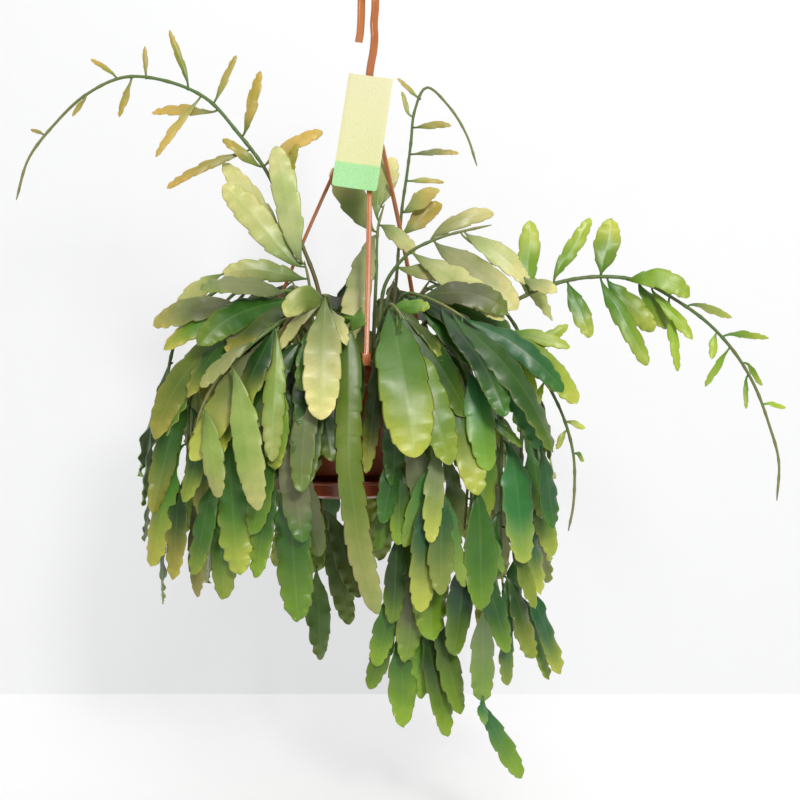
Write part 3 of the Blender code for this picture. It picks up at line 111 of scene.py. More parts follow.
HOOK_WIDTH = 7 * MM
HOOK_THICK = 4 * MM
HOOK_RADIUS = 10 * MM           # inside the crown
HOOK_TURN = math.radians(33)    # the hook's plane, turned from the front towards the right
CROWN_HALF = 2.5 * MM           # of the flat at the crown
HUB_RADIUS = 9.5 * MM
HUB_THICK = 4 * MM
NOTCH_DEPTH = 4.2 * MM          # of the straps' seats in the hub

LABEL_WIDTH = 40 * MM
LABEL_LENGTH = 110 * MM
LABEL_THICK = 0.6 * MM
LABEL_LEAN = math.radians(7.5)
LABEL_TILT = math.radians(19)   # it lies forwards on the front strap
LABEL_BELOW_HOOK = 80 * MM
FLAP_LENGTH = 17 * MM           # folded back, and forked round the hook's bar

SOIL_BELOW_RIM = 12 * MM
ROOT_DEPTH = 11 * MM
STEM_RADIUS = 2.1 * MM
THIN_STEM_RADIUS = 1.7 * MM
STEM_TIP_RADIUS = 1.1 * MM
BLADE_THICK = 1.4 * MM          # at the rib
ROOT_HALF_WIDTH = 0.8 * MM      # of a blade's root, inside its stem
CLEARANCE = 0.45 * MM           # kept round every leafy stem while the next ones are placed

SEED = 7

RIM_Z = -RIM_BELOW_HOOK
SOIL_Z = RIM_Z - SOIL_BELOW_RIM
POT_FLOOR_Z = RIM_Z - POT_HEIGHT
FLOOR_RADIUS = RIM_RADIUS - POT_TAPER
FOOT_RADIUS = FLOOR_RADIUS - FOOT_INSET
BAND_RADIUS = RIM_RADIUS - FLANGE_WIDTH         # outside, below the rim's edge
BODY_RADIUS = BAND_RADIUS - BAND_TAPER - BAND_STEP
BAND_LOW_Z = RIM_Z - BAND_HEIGHT
BODY_TOP_Z = BAND_LOW_Z - 2 * MM
HUB_TOP_Z = -HUB_BELOW_HOOK + 1 * MM


# Routes

SPAN_STEPS = 12                 # of the smooth curve, from one given point to the next


def smooth_route(points, count):
    """Points at even steps along a smooth curve through the given ones."""
    ends = [2 * points[0] - points[1], *points, 2 * points[-1] - points[-2]]
    fine = []
    for a, b, c, d in zip(ends, ends[1:], ends[2:], ends[3:]):
        for step in range(SPAN_STEPS):
            t = step / SPAN_STEPS
            fine.append(0.5 * (2 * b + (c - a) * t + (2 * a - 5 * b + 4 * c - d) * t * t
                               + (3 * b - a - 3 * c + d) * t ** 3))
    fine.append(points[-1])
    lengths = [0]
    for a, b in zip(fine, fine[1:]):
        lengths.append(lengths[-1] + (b - a).length)
    route = []
    here = 0
    for step in range(count):
        wanted = lengths[-1] * step / (count - 1)
        while here < len(fine) - 2 and lengths[here + 1] < wanted:
            here += 1
        span = lengths[here + 1] - lengths[here]
        share = (wanted - lengths[here]) / span if span else 0
        route.append(fine[here].lerp(fine[here + 1], min(1, share)))
    return route


def directions(route):
    return [(route[min(i + 1, len(route) - 1)] - route[max(i - 1, 0)]).normalized()
            for i in range(len(route))]


def ring_faces(rings, size):
    """The faces of a closed tube of rings."""
    faces = []
    for ring in range(rings - 1):
        low = ring * size
        for i in range(size):
            j = (i + 1) % size
            faces.append((low + i, low + j, low + size + j, low + size + i))
    faces.append(tuple(reversed(range(size))))
    faces.append(tuple((rings - 1) * size + i for i in range(size)))
    return faces


def round_bar(route, radii, sides):
    """A tapered round stem along a route."""
    forward = directions(route)
    side = forward[0].orthogonal().normalized()
    points = []
    for spot, ahead, radius in zip(route, forward, radii):
        side = (side - ahead * side.dot(ahead)).normalized()
        up = ahead.cross(side)
        for i in range(sides):
            angle = math.tau * i / sides
            points.append(spot + radius * (side * math.cos(angle) + up * math.sin(angle)))
    return points, ring_faces(len(route), sides)


# Leafy stems. Their lists are in centimetres: right of the hook's plumb line, in front of it,
# and up from the pot's rim.

def place(right, front, up):
    return Vector((right * CM, -front * CM, RIM_Z + up * CM))


# One blade: base is where it leaves its stem, as (right, up); tip as (right, front, up);
# arch is how far its middle stands out; turn is its twist in degrees. It grows from the
# stem, or from the blade numbered in `on`.
Blade = namedtuple("Blade", "base tip width arch turn on", defaults=(0.5, 0, None))


class Garden:
    """The pieces placed so far, so that the next ones can be kept clear of them."""

    def __init__(self):
        self.placed = []

    def add(self, owner, mesh_data):
        self.placed.append((owner, *self.box_and_tree(mesh_data)))

    @staticmethod
    def box_and_tree(mesh_data):
        points, faces = mesh_data
        low = [min(p[i] for p in points) for i in range(3)]
        high = [max(p[i] for p in points) for i in range(3)]
        return low, high, BVHTree.FromPolygons([tuple(p) for p in points], faces)

    def is_clear(self, mesh_data, skip=None):
        low, high, tree = self.box_and_tree(mesh_data)
        for owner, other_low, other_high, other in self.placed:
            if owner == skip:
                continue
            if any(low[i] > other_high[i] or high[i] < other_low[i] for i in range(3)):
                continue
            if tree.overlap(other):
                return False
        return True


SHOULDER = 0.9 * CM             # how far a blade reaches out of its stem before it droops, and
SHOULDER_SHARE = 0.15           # of a long blade's length
BULGE_OUT = 0.7                 # how far a blade arches outwards for each step up
NOTCH = 0.2                     # of a blade's half width
BLADE_BACK = 0.35               # of its thickness, behind its middle
RIPPLE = 0.035                  # how far its edges wave, of its width


def blade_route(base, tip, arch, leaving, facing, shares):
    """The rib of a blade: it leaves its stem sideways, arches out and droops to its tip."""
    length = (tip - base).length
    shoulder = base + leaving * max(SHOULDER, SHOULDER_SHARE * length)
    bulge = (Vector((0, 0, 1)) + facing * BULGE_OUT).normalized() * arch * CM
    knee = base.lerp(tip, 0.5) + bulge
    route = []
    for t in shares:
        u = 1 - t
        route.append(base * u ** 3 + 3 * shoulder * t * u * u + 3 * knee * t * t * u + tip * t ** 3)
    return route, (base, shoulder, knee, tip)


# A blade's outline: how far along each pair of edge points is, and how broad it is there.
LONG_BLADE = ((0, 0), (0.07, 0.13), (0.2, 0.5), (0.36, 0.95), (0.54, 1.0), (0.74, 1.0), (0.91, 0.72))
MIDDLE_BLADE = ((0, 0), (0.09, 0.15), (0.27, 0.75), (0.48, 1.0), (0.72, 1.0), (0.91, 0.68))
SHORT_BLADE = ((0, 0), (0.12, 0.22), (0.45, 1.0), (0.8, 0.8))


SHORT_UP_TO = 5 * CM
MIDDLE_UP_TO = 9.6 * CM
NARROW = 1.5 * CM               # a blade below this width is never a long one


def blade_outline(length, width):
    if length < SHORT_UP_TO:
        return SHORT_BLADE
    if length < MIDDLE_UP_TO or width < NARROW:
        return MIDDLE_BLADE
    return LONG_BLADE


def split_outwards(points, corners, outwards):
    """Splits four corners into two triangles along the diagonal that lies farther outwards, so
    that the front and the back of a twisted blade never cross."""
    p, q, r, s = corners
    if (points[p] + points[r] - points[q] - points[s]).dot(outwards) >= 0:
        return [(p, q, r), (p, r, s)]
    return [(q, r, s), (q, s, p)]


def twist_along(turn, share):
    """How far a blade is twisted there, when its tip is turned by that many degrees."""
    return math.radians(turn) * (0.35 + 0.65 * share)


def blade_mesh(route, outline, width, facing, turn, grow=0.0):
    """A thin crenate blade: two edges and a rib that stands up on its outer face."""
    ahead = directions(route)
    points = []
    fronts = []
    rings = len(outline)
    for i, (t, breadth) in enumerate(outline):
        forward = ahead[i]
        side = forward.cross(facing)
        if side.length < 0.05:
            side = forward.orthogonal()
        side.normalize()
        angle = twist_along(turn, t)
        face = side.cross(forward)
        side, face = (side * math.cos(angle) + face * math.sin(angle),
                      face * math.cos(angle) - side * math.sin(angle))
        half = max(width / 2 * breadth, ROOT_HALF_WIDTH)
        left = half * (1 - NOTCH * (i % 2)) if i > 1 else half
        right = half * (1 - NOTCH * ((i + 1) % 2)) if i > 1 else half
        thick = BLADE_THICK * (0.6 if i == 0 else 1)
        ripple = face * width * RIPPLE * (1 if i % 2 else -1) * (1 if i > 1 else 0)
        back = face * (BLADE_BACK * thick + grow)
        fronts.append(face)
        points.append(route[i] - side * (left + grow) + ripple - back)
        points.append(route[i] + face * ((1 - BLADE_BACK) * thick + grow))
        points.append(route[i] + side * (right + grow) - ripple - back)
    points.append(route[-1] + ahead[-1] * grow)
    faces = [(2, 1, 0)]
    for i in range(rings - 1):
        low = i * 3
        front = fronts[i] + fronts[i + 1]
        for a, b, outwards in ((0, 1, front), (1, 2, front), (2, 0, -front)):
            corners = low + a, low + b, low + 3 + b, low + 3 + a
            faces += split_outwards(points, corners, outwards)
    last = (rings - 1) * 3
    end = len(points) - 1
    faces += [(last, last + 1, end), (last + 1, last + 2, end), (last + 2, last, end)]
    return points, faces


def facing_at(spot, front_share):
    """The way a blade faces: away from the pot's axis, turned partly to the front."""
    away = Vector((spot.x - POT_OFF_PLUMB, spot.y, 0))
    away = away.normalized() if away.length > 1e-6 else Vector((0, -1, 0))
    mixed = away * (1 - front_share) + Vector((0, -1, 0)) * front_share
    mixed.z = 0.3
    return mixed.normalized()


def nearest_on(route, base):
    """The point of a route nearest to base, and the way it runs there. A base of only
    (right, up) is matched as it looks from the front."""
    best = None
    for a, b in zip(route, route[1:]):
        for step in range(6):
            spot = a.lerp(b, step / 6)
            aim = place(*base) if len(base) == 3 else place(base[0], -spot.y / CM, base[1])
            miss = (spot - aim).length
            if best is None or miss < best[0]:
                best = (miss, spot, (b - a).normalized())
    return best[1], best[2]


def nudges(wide):
    """Small moves of a blade's tip, nearest first: sideways, outwards and up, in centimetres."""
    found = [(0, 0, 0)]
    sizes = (0.5, 1.0, 1.6, 2.4, 3.4) if wide else (0.5, 1.0, 1.6, 2.4)
    for size in sizes:
        found += [(0, size, 0), (size, 0, 0), (-size, 0, 0), (0, -size, 0),
                  (size, size, 0.3), (-size, size, 0.3), (0, size, size), (size, -size, 0),
                  (-size, -size, 0)]
    return found


STAND_OFFS = (0.4, 1.0, -0.6)   # how far a blade's root turns away from the pot, in turn


class Shoot:
    """A leafy stem: a round stem and the blades that grow from it."""

    def __init__(self, name, route, blades, radius=STEM_RADIUS, sides=4, front_share=0.45):
        self.name = name
        self.route = route
        self.blades = blades
        self.sides = sides
        self.front_share = front_share
        last = len(route) - 1
        self.radii = [radius + (STEM_TIP_RADIUS - radius) * i / last for i in range(last + 1)]
        self.fine = []

    def stem(self, grow=0.0):
        return round_bar(self.route, [r + grow for r in self.radii], self.sides)

    def place_stem(self, garden):
        if not garden.is_clear(self.stem(CLEARANCE)):
            return False
        garden.add(self.name, self.stem())
        return True

    def place_blades(self, garden, wide=False):
        """Adds each blade that finds room. One grown from a blade without room is left out too."""
        own = Garden()
        own.add(self.name, self.stem())
        routes = []
        for blade in self.blades:
            parent = self.route if blade.on is None else routes[blade.on]
            routes.append(self.fit_blade(garden, own, parent, blade, wide) if parent else None)

    def fit_blade(self, garden, own, parent, blade, wide):
        """Tries the blade at its tip and then at nudged ones, until it is clear of every other
        stem. One that crosses its own stem's pieces is taken only when no other place is left."""
        base, along = nearest_on(parent, blade.base)
        choices = list(product(STAND_OFFS, nudges(wide)))
        for may_cross in (False, True):
            for stand_off, nudge in choices:
                route, shape = self.shape_blade(base, along, blade, stand_off, nudge)
                if not garden.is_clear(blade_mesh(route, *shape, grow=CLEARANCE), skip=self.name):
                    continue
                outline, *rest = shape
                if not may_cross and not own.is_clear(blade_mesh(route[1:], outline[1:], *rest)):
                    continue
                made = blade_mesh(route, *shape)
                garden.add(self.name, made)
                own.add(self.name, made)
                self.fine.append((self.curve, shape))
                return route
        return None

    def shape_blade(self, base, along, blade, stand_off, nudge):
        """A blade's route and shape. stand_off turns its root away from the pot."""
        sideways, outwards, up = nudge
        tip = place(*blade.tip)
        facing = facing_at(base.lerp(tip, 0.6), self.front_share)
        flat = Vector((facing.x, facing.y, 0)).normalized()
        tip += (Vector((-flat.y, flat.x, 0)) * sideways + flat * outwards) * CM
        tip.z += up * CM
        leaving = along
        if blade.on is None:
            toward = tip - base
            leaving = (toward - along * toward.dot(along)).normalized() + flat * stand_off
            leaving.normalize()
        width = blade.width * CM
        outline = blade_outline((tip - base).length, width)
        shares = [t for t, _ in outline] + [1]
        route, self.curve = blade_route(base, tip, blade.arch, leaving, flat, shares)
        return route, (outline, width, facing, blade.turn)


def rooted(root, points, count):
    """A stem's route: upright out of its hole in the soil, then through the points."""
    foot = place(root[0], root[1], 0)
    foot.z = SOIL_Z - ROOT_DEPTH
    collar = foot.copy()
    collar.z = SOIL_Z + 3 * MM
    rest = smooth_route([collar, *[place(*p) for p in points]], count)
    return [foot, *rest]


# The stems that show in the front view, one by one: the name, the hole in the soil as (right,
# front), how many points the stem is built from, how far its blades face the front, the points
# it runs through, and its blades
FEATURED = [
    ("arching_stem_left", (-3.6, 1.0), 14, 0.9, [
        (-3.9, 1, 2), (-4.9, 1.2, 7.3), (-7.8, 1.5, 14.0), (-9.6, 1.8, 17.4), (-13.6, 2.2, 22.3),
        (-16.0, 2.4, 23.9), (-19.3, 2.6, 24.7), (-22.3, 2.8, 24.6), (-24.8, 3, 23.2), (-26.7, 3, 21.6),
        (-28.7, 3, 19.4), (-30.6, 3, 16.6), (-31.2, 3, 14.0),
    ], [
        ((-22.3, 24.6), (-24.5, 2.4, 26.4), 0.5, 0.2), ((-19.3, 24.7), (-19.7, 2.4, 27.5), 0.5, 0.2),
        ((-16.0, 23.9), (-17.5, 2.4, 28.9), 0.6, 0.2), ((-13.6, 22.3), (-11.6, 2.4, 26.7), 0.7, 0.2),
        ((-11.2, 19.8), (-9.5, 2.2, 25.4), 1.0, 0.3), ((-9.4, 17.3), (-4.0, 2.6, 20.0), 1.3, 1.0),
        ((-7.8, 14.3), (-6.2, 2.8, 18.9), 0.9, 0.2), ((-20.7, 24.4), (-21.9, 3.2, 21.2), 0.7, 0.2),
        ((-14.9, 23.0), (-18.7, 3.4, 17.7), 0.8, 0.6), ((-13.2, 21.8), (-19.3, 1.6, 21.8), 1.0, 0.8),
        ((-11.4, 18.2), (-17.8, 3.2, 15.0), 0.9, 1.0), ((-9.6, 17.1), (-12.8, 3.2, 19.3), 1.0, 0.2),
        ((-24.8, 23.2), (-25.9, 3.6, 21.2), 0.5, 0.1), ((-28.7, 19.4), (-29.9, 2.6, 20.2), 0.4, 0.1),
    ]),
    ("upper_left_shoot", (-4.9, 3.1), 7, 0.85, [
        (-4.9, 3.4, 2.0), (-5.1, 3.8, 6.0), (-5.6, 4.0, 8.6),
    ], [
        ((-5.3, 8.0), (-12.7, 4.2, 15.2), 2.4, 0.8), ((-5.6, 8.6), (-13.0, 1.6, 17.4), 2.0, 0.6, -15),
        ((-5.5, 8.5), (-8.4, 4.4, 18.2), 2.2, -0.3), ((-5.1, 7.0), (-12.6, 5.8, 7.4), 1.8, 1.6, 20),
        ((-12.4, 7.5), (-17.0, 4.6, 4.2), 1.6, 0.4, 10, 3),
    ]),
    ("middle_shoot", (0.4, 1.2), 8, 0.9, [
        (0.5, 0.8, 3), (0.7, 0.2, 8), (0.8, -1.0, 11.6), (1.4, -2, 14),
    ], [
        ((0.8, 11.4), (-3.4, -3.5, 17.5), 2.5, 0.3), ((0.9, 12.2), (1.7, -2.6, 19.0), 1.4, 0),
        ((1.4, 14.0), (3.2, -3.6, 18.6), 1.9, 0), ((0.7, 11.0), (-1.9, 6.4, 1.2), 2.2, 1.4),
        ((0.8, 12.0), (4.2, 1.6, 9.4), 1.5, 0.6),
    ]),
    ("thin_stem_behind", (2.0, -3.4), 13, 0.9, [
        (2.2, -4.6, 3.5), (2.5, -5, 7.0), (2.95, -5, 13.0), (3.4, -5, 16.2), (4.1, -5, 21.7),
        (4.4, -5, 24.4), (5.05, -5, 25.2), (6.7, -5, 24.4), (8.3, -5, 22.1), (9.5, -5, 20.0),
        (10.15, -5, 17.8),
    ], [
        ((4.0, 21.4), (7.7, -4.4, 21.5), 0.8, 0.5), ((3.7, 18.8), (8.4, -4.2, 18.9), 0.7, 0.5),
        ((3.4, 16.2), (7.0, -4.4, 16.2), 0.6, 0.4), ((2.9, 13.2), (6.6, -3.6, 15.4), 1.9, 1.0, 20),
        ((2.8, 11.4), (6.9, -5.6, 14.2), 1.8, 1.0, -20), ((4.1, 22.4), (3.0, -5.4, 24.8), 0.5, 0.1),
        ((4.4, 24.4), (2.6, -5.0, 26.0), 0.5, 0.1),
    ]),
    ("middle_right_shoot", (1.2, 3.4), 11, 0.8, [
        (1.0, 3.2, 2), (1.1, 3, 4.2), (1.6, 3, 6.7), (3.5, 3, 9.2), (5.9, 3, 10.5), (8.2, 3, 11.2),
        (11.0, 3, 11.8),
    ], [
        ((5.4, 10.3), (11.3, 1.8, 12.9), 1.4, 1.6), ((8.2, 11.2), (16.6, 2.4, 3.3), 1.7, 4.0, 25),
        ((8.6, 11.3), (14.5, 4.0, 6.3), 2.0, 1.4), ((6.0, 10.4), (13.0, 6.2, 4.3), 2.8, 1.2),
        ((3.9, 9.4), (11.6, 7.6, 3.4), 2.3, 1.6), ((2.6, 8.2), (6.6, 4.6, 7.0), 1.4, 0.6),
        ((13.4, 7.0), (15.8, 4.4, 3.4), 1.6, 0.3, 0, 2),
    ]),
    ("arching_stem_right", (2.4, 1.4), 15, 0.9, [
        (3.4, 2.6, 0.9), (5.6, 4.1, 1.6), (7.6, 4.4, 2.2), (10.5, 4.5, 3.6), (13.2, 4.5, 5.2),
        (15.3, 4.5, 6.1), (17.6, 4.5, 6.9), (20.3, 4.5, 7.2), (23.1, 4.5, 7.1), (26.6, 4.5, 5.5),
        (30.4, 4.5, 2.8), (33.1, 4.5, -0.4), (35.0, 4.5, -4.0), (36.0, 4.5, -7.2), (36.6, 4.5, -9.3),
        (36.5, 4.5, -12.7),
    ], [
        ((14.3, 5.7), (14.5, 3.4, 12.2), 1.8, 0), ((16.7, 6.6), (19.7, 3.4, 12.4), 1.3, -0.3),
        ((20.3, 7.2), (21.6, 3.6, 12.3), 2.1, 0), ((22.9, 7.1), (27.9, 6.4, 5.4), 1.8, 2.4),
        ((17.5, 6.9), (19.4, 6.0, 1.9), 1.6, 0.4), ((20.2, 7.2), (24.3, 6.6, -0.5), 1.6, 0.8),
        ((21.2, 7.2), (24.6, 5.2, 2.4), 1.9, 0.4, -20), ((23.7, 6.9), (26.5, 4.0, 2.6), 1.9, 0.5, 15),
        ((25.1, 6.3), (28.4, 5.8, 1.7), 1.1, 0.5), ((26.6, 5.5), (27.3, 5.2, -1.1), 0.9, 0.2),
        ((28.2, 4.9), (32.4, 3.6, 3.6), 0.8, 0.3), ((31.5, 1.8), (35.6, 4.0, 1.8), 0.7, 0.4),
        ((30.9, 2.4), (30.2, 5.4, 0.0), 0.8, 0), ((32.0, 1.2), (29.9, 4.4, -2.5), 0.7, 0),
        ((33.1, -0.4), (35.0, 4.4, -2.4), 0.6, 0), ((33.7, -1.6), (33.3, 5.4, -4.4), 0.5, 0),
        ((35.0, -4.0), (37.1, 4.4, -4.4), 0.5, 0.1),
    ]),
    ("lower_stem_right", (3.4, 3.6), 15, 0.8, [
        (4.6, 4.9, 1.0), (6.6, 6.2, 2.3), (9.7, 6.8, 3.2), (11.1, 6.8, 2.7), (13.0, 6.8, 1.1),
        (14.4, 6.8, 0), (15.5, 6.8, -1.8), (16.5, 6.8, -3.8), (17.3, 6.8, -5.5), (17.8, 6.8, -7.7),
        (18.1, 6.8, -9.4), (18.0, 6.8, -12.8), (17.6, 6.8, -15.0),
    ], [
        ((11.8, 2.2), (17.4, 8.0, 1.1), 1.2, 0.8), ((11.1, 2.7), (17.9, 8.4, -3.6), 2.4, 2.2),
        ((14.0, 0.4), (17.5, 6.0, 3.0), 1.1, 0.2), ((13.2, 1.0), (12.2, 8.6, -1.2), 1.1, 0),
        ((13.6, 0.6), (14.2, 8.2, -3.6), 1.5, 0.2), ((15.5, -1.8), (14.4, 7.4, -4.7), 0.7, 0),
        ((17.3, -5.5), (18.9, 7.4, -5.9), 0.6, 0), ((17.4, -6.2), (16.4, 7.6, -7.7), 0.6, 0),
        ((17.9, -8.3), (18.9, 6.6, -8.9), 0.5, 0),
    ]),
    ("front_right_fan", (0.4, 5.2), 8, 0.6, [
        (1.0, 6.6, 2.4), (1.8, 8.4, 4.6), (2.4, 10.4, 4.6), (3.2, 11.6, 3.6),
    ], [
        ((1.9, 4.6), (4.05, 14.0, -7.5), 3.1, 1.7), ((2.6, 4.4), (6.9, 13.0, -8.3), 2.6, 1.4),
        ((2.2, 4.6), (6.2, 10.6, -0.1), 1.2, 1.4, 30), ((1.8, 4.4), (5.4, 8.8, 4.6), 1.5, 0.5),
        ((1.4, 3.8), (0.0, 10.6, -9.4), 1.6, 1.0), ((3.2, 3.6), (2.6, 12.0, -8.8), 2.1, 0.2, 15),
    ]),
    ("front_left_fan", (-3.0, 4.8), 7, 0.7, [
        (-3.0, 6.6, 2.6), (-3.2, 8.6, 5.2), (-3.5, 10.6, 5.6),
    ], [
        ((-3.4, 5.6), (-3.6, 13.4, -4.6), 2.9, 1.2), ((-3.1, 5.0), (-6.6, 11.2, 3.8), 2.2, 2.6, 40),
        ((-3.3, 5.3), (-7.4, 9.8, 0.9), 1.0, 1.6), ((-3.0, 4.4), (-1.6, 11.2, 1.4), 1.2, 1.2, 20),
    ]),
    ("front_strap", (-1.2, 6.4), 7, 0.8, [
        (-1.3, 7.6, 1.6), (-1.5, 9.4, 3.2), (-1.6, 10.8, 1.8),
    ], [
        ((-1.5, 2.8), (-1.4, 12.2, -8.2), 2.3, 0.7),
        ((-1.4, -8.0), (-0.6, 12.0, -15.2), 2.1, 0.1, 0, 0),
        ((-0.6, -15.0), (1.0, 11.6, -21.6), 2.2, 0.1, 0, 1),
    ]),
    ("left_pale_shoot", (-4.2, 5.0), 10, 0.6, [
        (-5.2, 6.6, 2.4), (-6.6, 8.6, 3.6), (-8.4, 10.4, 2.4), (-10.3, 11, 0.8), (-12.1, 11.2, -1.1),
        (-13.3, 11, -2.9), (-14.3, 10.8, -5.5),
    ], [
        ((-7.6, 3.0), (-7.7, 12.2, -8.2), 1.8, 1.0, 25), ((-11.4, -0.2), (-8.8, 13.2, -12.1), 2.3, 0.8),
        ((-9.4, 1.6), (-13.6, 12.2, -2.0), 1.3, 0.8), ((-13.6, -3.8), (-12.2, 12.2, -11.2), 1.8, 0.4),
    ]),
    ("left_arch_shoot", (-5.6, 1.6), 8, 0.6, [
        (-6.0, 2.8, 2.2), (-6.2, 4.6, 5.6), (-8.0, 5.8, 5.8), (-10.8, 6.8, 4.0),
    ], [
        ((-6.4, 5.8), (-17.2, 8.4, 0.9), 2.0, 2.8), ((-10.4, 4.2), (-17.8, 5.4, 1.4), 2.2, 1.6),
        ((-10.8, 4.0), (-18.5, 8.4, -6.9), 2.4, 4.2, 15),
        ((-9.0, 5.2), (-14.6, 9.8, -4.0), 2.0, 2.2, -10),
    ]),
    ("left_front_hanging", (-6.4, 3.8), 9, 0.6, [
        (-8.0, 5.2, 1.8), (-10.4, 7.2, 1.2), (-12.0, 8.2, -2.0), (-12.6, 8.6, -7.0),
        (-12.0, 8.6, -12.0),
    ], [
        ((-12.5, -6.0), (-10.8, 10.2, -18.2), 2.9, 0.4),
        ((-12.2, -10.0), (-15.0, 9.0, -18.4), 2.0, 0.3), ((-11.6, 0.2), (-12.6, 10.0, -8.4), 2.2, 0.8),
        ((-12.4, -4.4), (-15.6, 9.6, -12.0), 2.0, 0.5), ((-12.0, -11.8), (-12.4, 8.8, -20.6), 2.2, 0.2),
    ]),
    ("left_hanging", (-7.6, 1.2), 9, 0.6, [
        (-9.8, 2.4, 1.8), (-13.0, 4.0, 1.6), (-15.4, 5.2, -2.6), (-15.8, 5.8, -8.0),
        (-15.8, 6.0, -12.0),
    ], [
        ((-15.8, -7.6), (-19.2, 6.2, -18.3), 2.4, 0.4), ((-15.8, -10.6), (-17.3, 7.6, -19.3), 2.0, 0.3),
        ((-15.0, -1.8), (-18.6, 7.6, -13.4), 2.0, 1.6, 60),
        ((-15.8, -11.8), (-15.0, 6.4, -21.0), 1.6, 0.2), ((-15.6, -4.4), (-14.2, 7.0, -14.0), 2.2, 0.5),
    ]),
    ("front_left_inner", (-5.4, 5.4), 8, 0.6, [
        (-6.2, 7.2, 1.0), (-6.9, 9.2, 0.8), (-7.2, 10.0, -3.0), (-6.9, 10.0, -9.0),
    ], [
        ((-7.1, -2.6), (-4.0, 11.2, -8.0), 2.7, 0.6, 15), ((-6.9, -8.6), (-5.8, 10.4, -22.1), 3.0, 0.2),
        ((-7.2, -4.6), (-9.6, 10.6, -14.6), 2.1, 0.3), ((-6.9, -7.6), (-9.0, 10.4, -18.4), 1.9, 0.2),
    ]),
    ("front_left_cover", (-3.8, 6.2), 6, 0.6, [
        (-4.2, 7.4, 1.6), (-5.0, 9.0, 1.8), (-5.6, 10.2, -0.8),
    ], [
        ((-5.2, 1.2), (-5.0, 12.6, -10.2), 2.5, 0.8), ((-4.8, 1.6), (-8.9, 12.2, -6.4), 2.2, 1.2),
        ((-4.6, 1.7), (-2.8, 12.0, -8.2), 2.0, 1.0), ((-5.6, -0.6), (-7.2, 10.8, -10.8), 2.0, 0.2),
    ]),
    ("right_front_hanging", (1.8, 5.8), 9, 0.6, [
        (3.0, 7.2, 1.4), (5.0, 9.0, 2.2), (6.0, 10.4, -1.0), (6.0, 11.0, -6.0), (5.8, 11.2, -11.0),
    ], [
        ((6.0, -0.8), (9.4, 12.2, -11.0), 2.4, 0.6), ((5.9, -7.0), (5.4, 12.6, -14.9), 1.7, 0.4),
        ((5.8, -10.2), (6.4, 12.8, -19.4), 2.1, 0.3), ((5.8, -11.0), (8.4, 12.0, -18.9), 1.3, 0.3),
        ((5.9, -8.6), (3.2, 11.0, -15.6), 1.5, 0.2), ((5.8, -10.8), (4.4, 11.2, -21.0), 2.2, 0.2),
    ]),
    ("right_long_hanging", (2.8, 3.8), 9, 0.5, [
        (4.2, 5.0, 1.4), (7.0, 7.4, 1.8), (8.6, 9.4, -1.4), (8.9, 10.0, -7.0), (8.9, 10.0, -13.0),
        (9.2, 9.8, -18.0),
    ], [
        ((8.6, -0.6), (10.0, 11.4, -9.0), 2.6, 0.8), ((8.9, -10.4), (9.8, 11.2, -21.0), 2.8, 0.4),
        ((9.8, -20.8), (9.9, 11.0, -28.9), 2.3, 0.2, 0, 1),
        ((9.9, -28.7), (13.4, 10.0, -36.0), 1.8, -0.3, 0, 2),
        ((8.8, -4.2), (12.4, 12.4, -7.2), 0.9, 0.6), ((8.9, -12.0), (12.3, 11.6, -18.0), 1.0, 0.6),
        ((9.2, -17.6), (12.2, 9.8, -25.0), 2.1, 0.3), ((9.1, -16.0), (7.4, 10.0, -25.2), 2.3, 0.3),
        ((9.9, -28.3), (8.9, 11.4, -32.4), 1.1, 0, 0, 2),
    ]),
    ("right_dark_strap", (2.6, 3.0), 8, 0.5, [
        (2.6, 4.2, 3.0), (3.0, 6.2, 5.6), (5.6, 8.0, 5.2), (8.4, 9.2, 3.6),
    ], [
        ((8.2, 3.7), (14.8, 10.2, -7.4), 2.6, 2.3), ((6.6, 4.8), (12.2, 11.4, -4.6), 2.2, 2.4),
        ((8.4, 3.6), (16.2, 8.4, -2.6), 2.0, 2.2, -15),
        ((14.7, -7.2), (15.2, 9.4, -14.4), 1.9, 0.2, 0, 0),
    ]),
    ("right_inner_long", (2.4, 4.9), 9, 0.6, [
        (3.6, 6.0, 1.3), (5.4, 7.6, 0.4), (5.6, 8.0, -7.0), (4.8, 8.2, -12.0), (4.8, 8.2, -18.0),
        (5.8, 8.0, -23.0),
    ], [
        ((4.8, -12.0), (5.6, 9.6, -24.0), 3.1, 0.4), ((5.4, -22.0), (8.2, 8.4, -30.9), 2.0, 0.3),
        ((5.8, -23.0), (7.0, 7.6, -33.2), 2.0, 0.2), ((4.9, -10.6), (2.6, 9.0, -19.0), 1.8, 0.3),
        ((4.8, -17.0), (3.2, 8.2, -26.2), 2.3, 0.3), ((5.3, -21.0), (4.8, 7.0, -30.0), 2.1, 0.2),
        ((5.5, -0.6), (4.6, 10.6, -12.6), 2.3, 0.5),
    ]),
    ("right_side_hanging", (3.9, 1.9), 9, 0.5, [
        (5.4, 2.9, 1.3), (9.0, 5.2, 1.5), (11.4, 6.8, -2.4), (11.6, 7.6, -8.0), (11.6, 7.8, -14.0),
        (11.8, 7.8, -20.0),
    ], [
        ((11.6, -6.8), (13.5, 9.6, -17.3), 2.9, 0.6), ((11.7, -14.6), (14.6, 8.6, -21.5), 1.5, 0.4),
        ((11.7, -18.6), (14.5, 8.2, -26.0), 2.0, 0.3), ((11.8, -20.0), (12.2, 8.2, -28.4), 1.6, 0.2),
        ((11.5, -4.8), (9.6, 8.6, -15.6), 2.2, 0.5), ((11.7, -13.0), (10.6, 8.4, -23.4), 2.3, 0.3),
    ]),
    ("right_outer_hanging", (4.2, -0.4), 9, 0.45, [
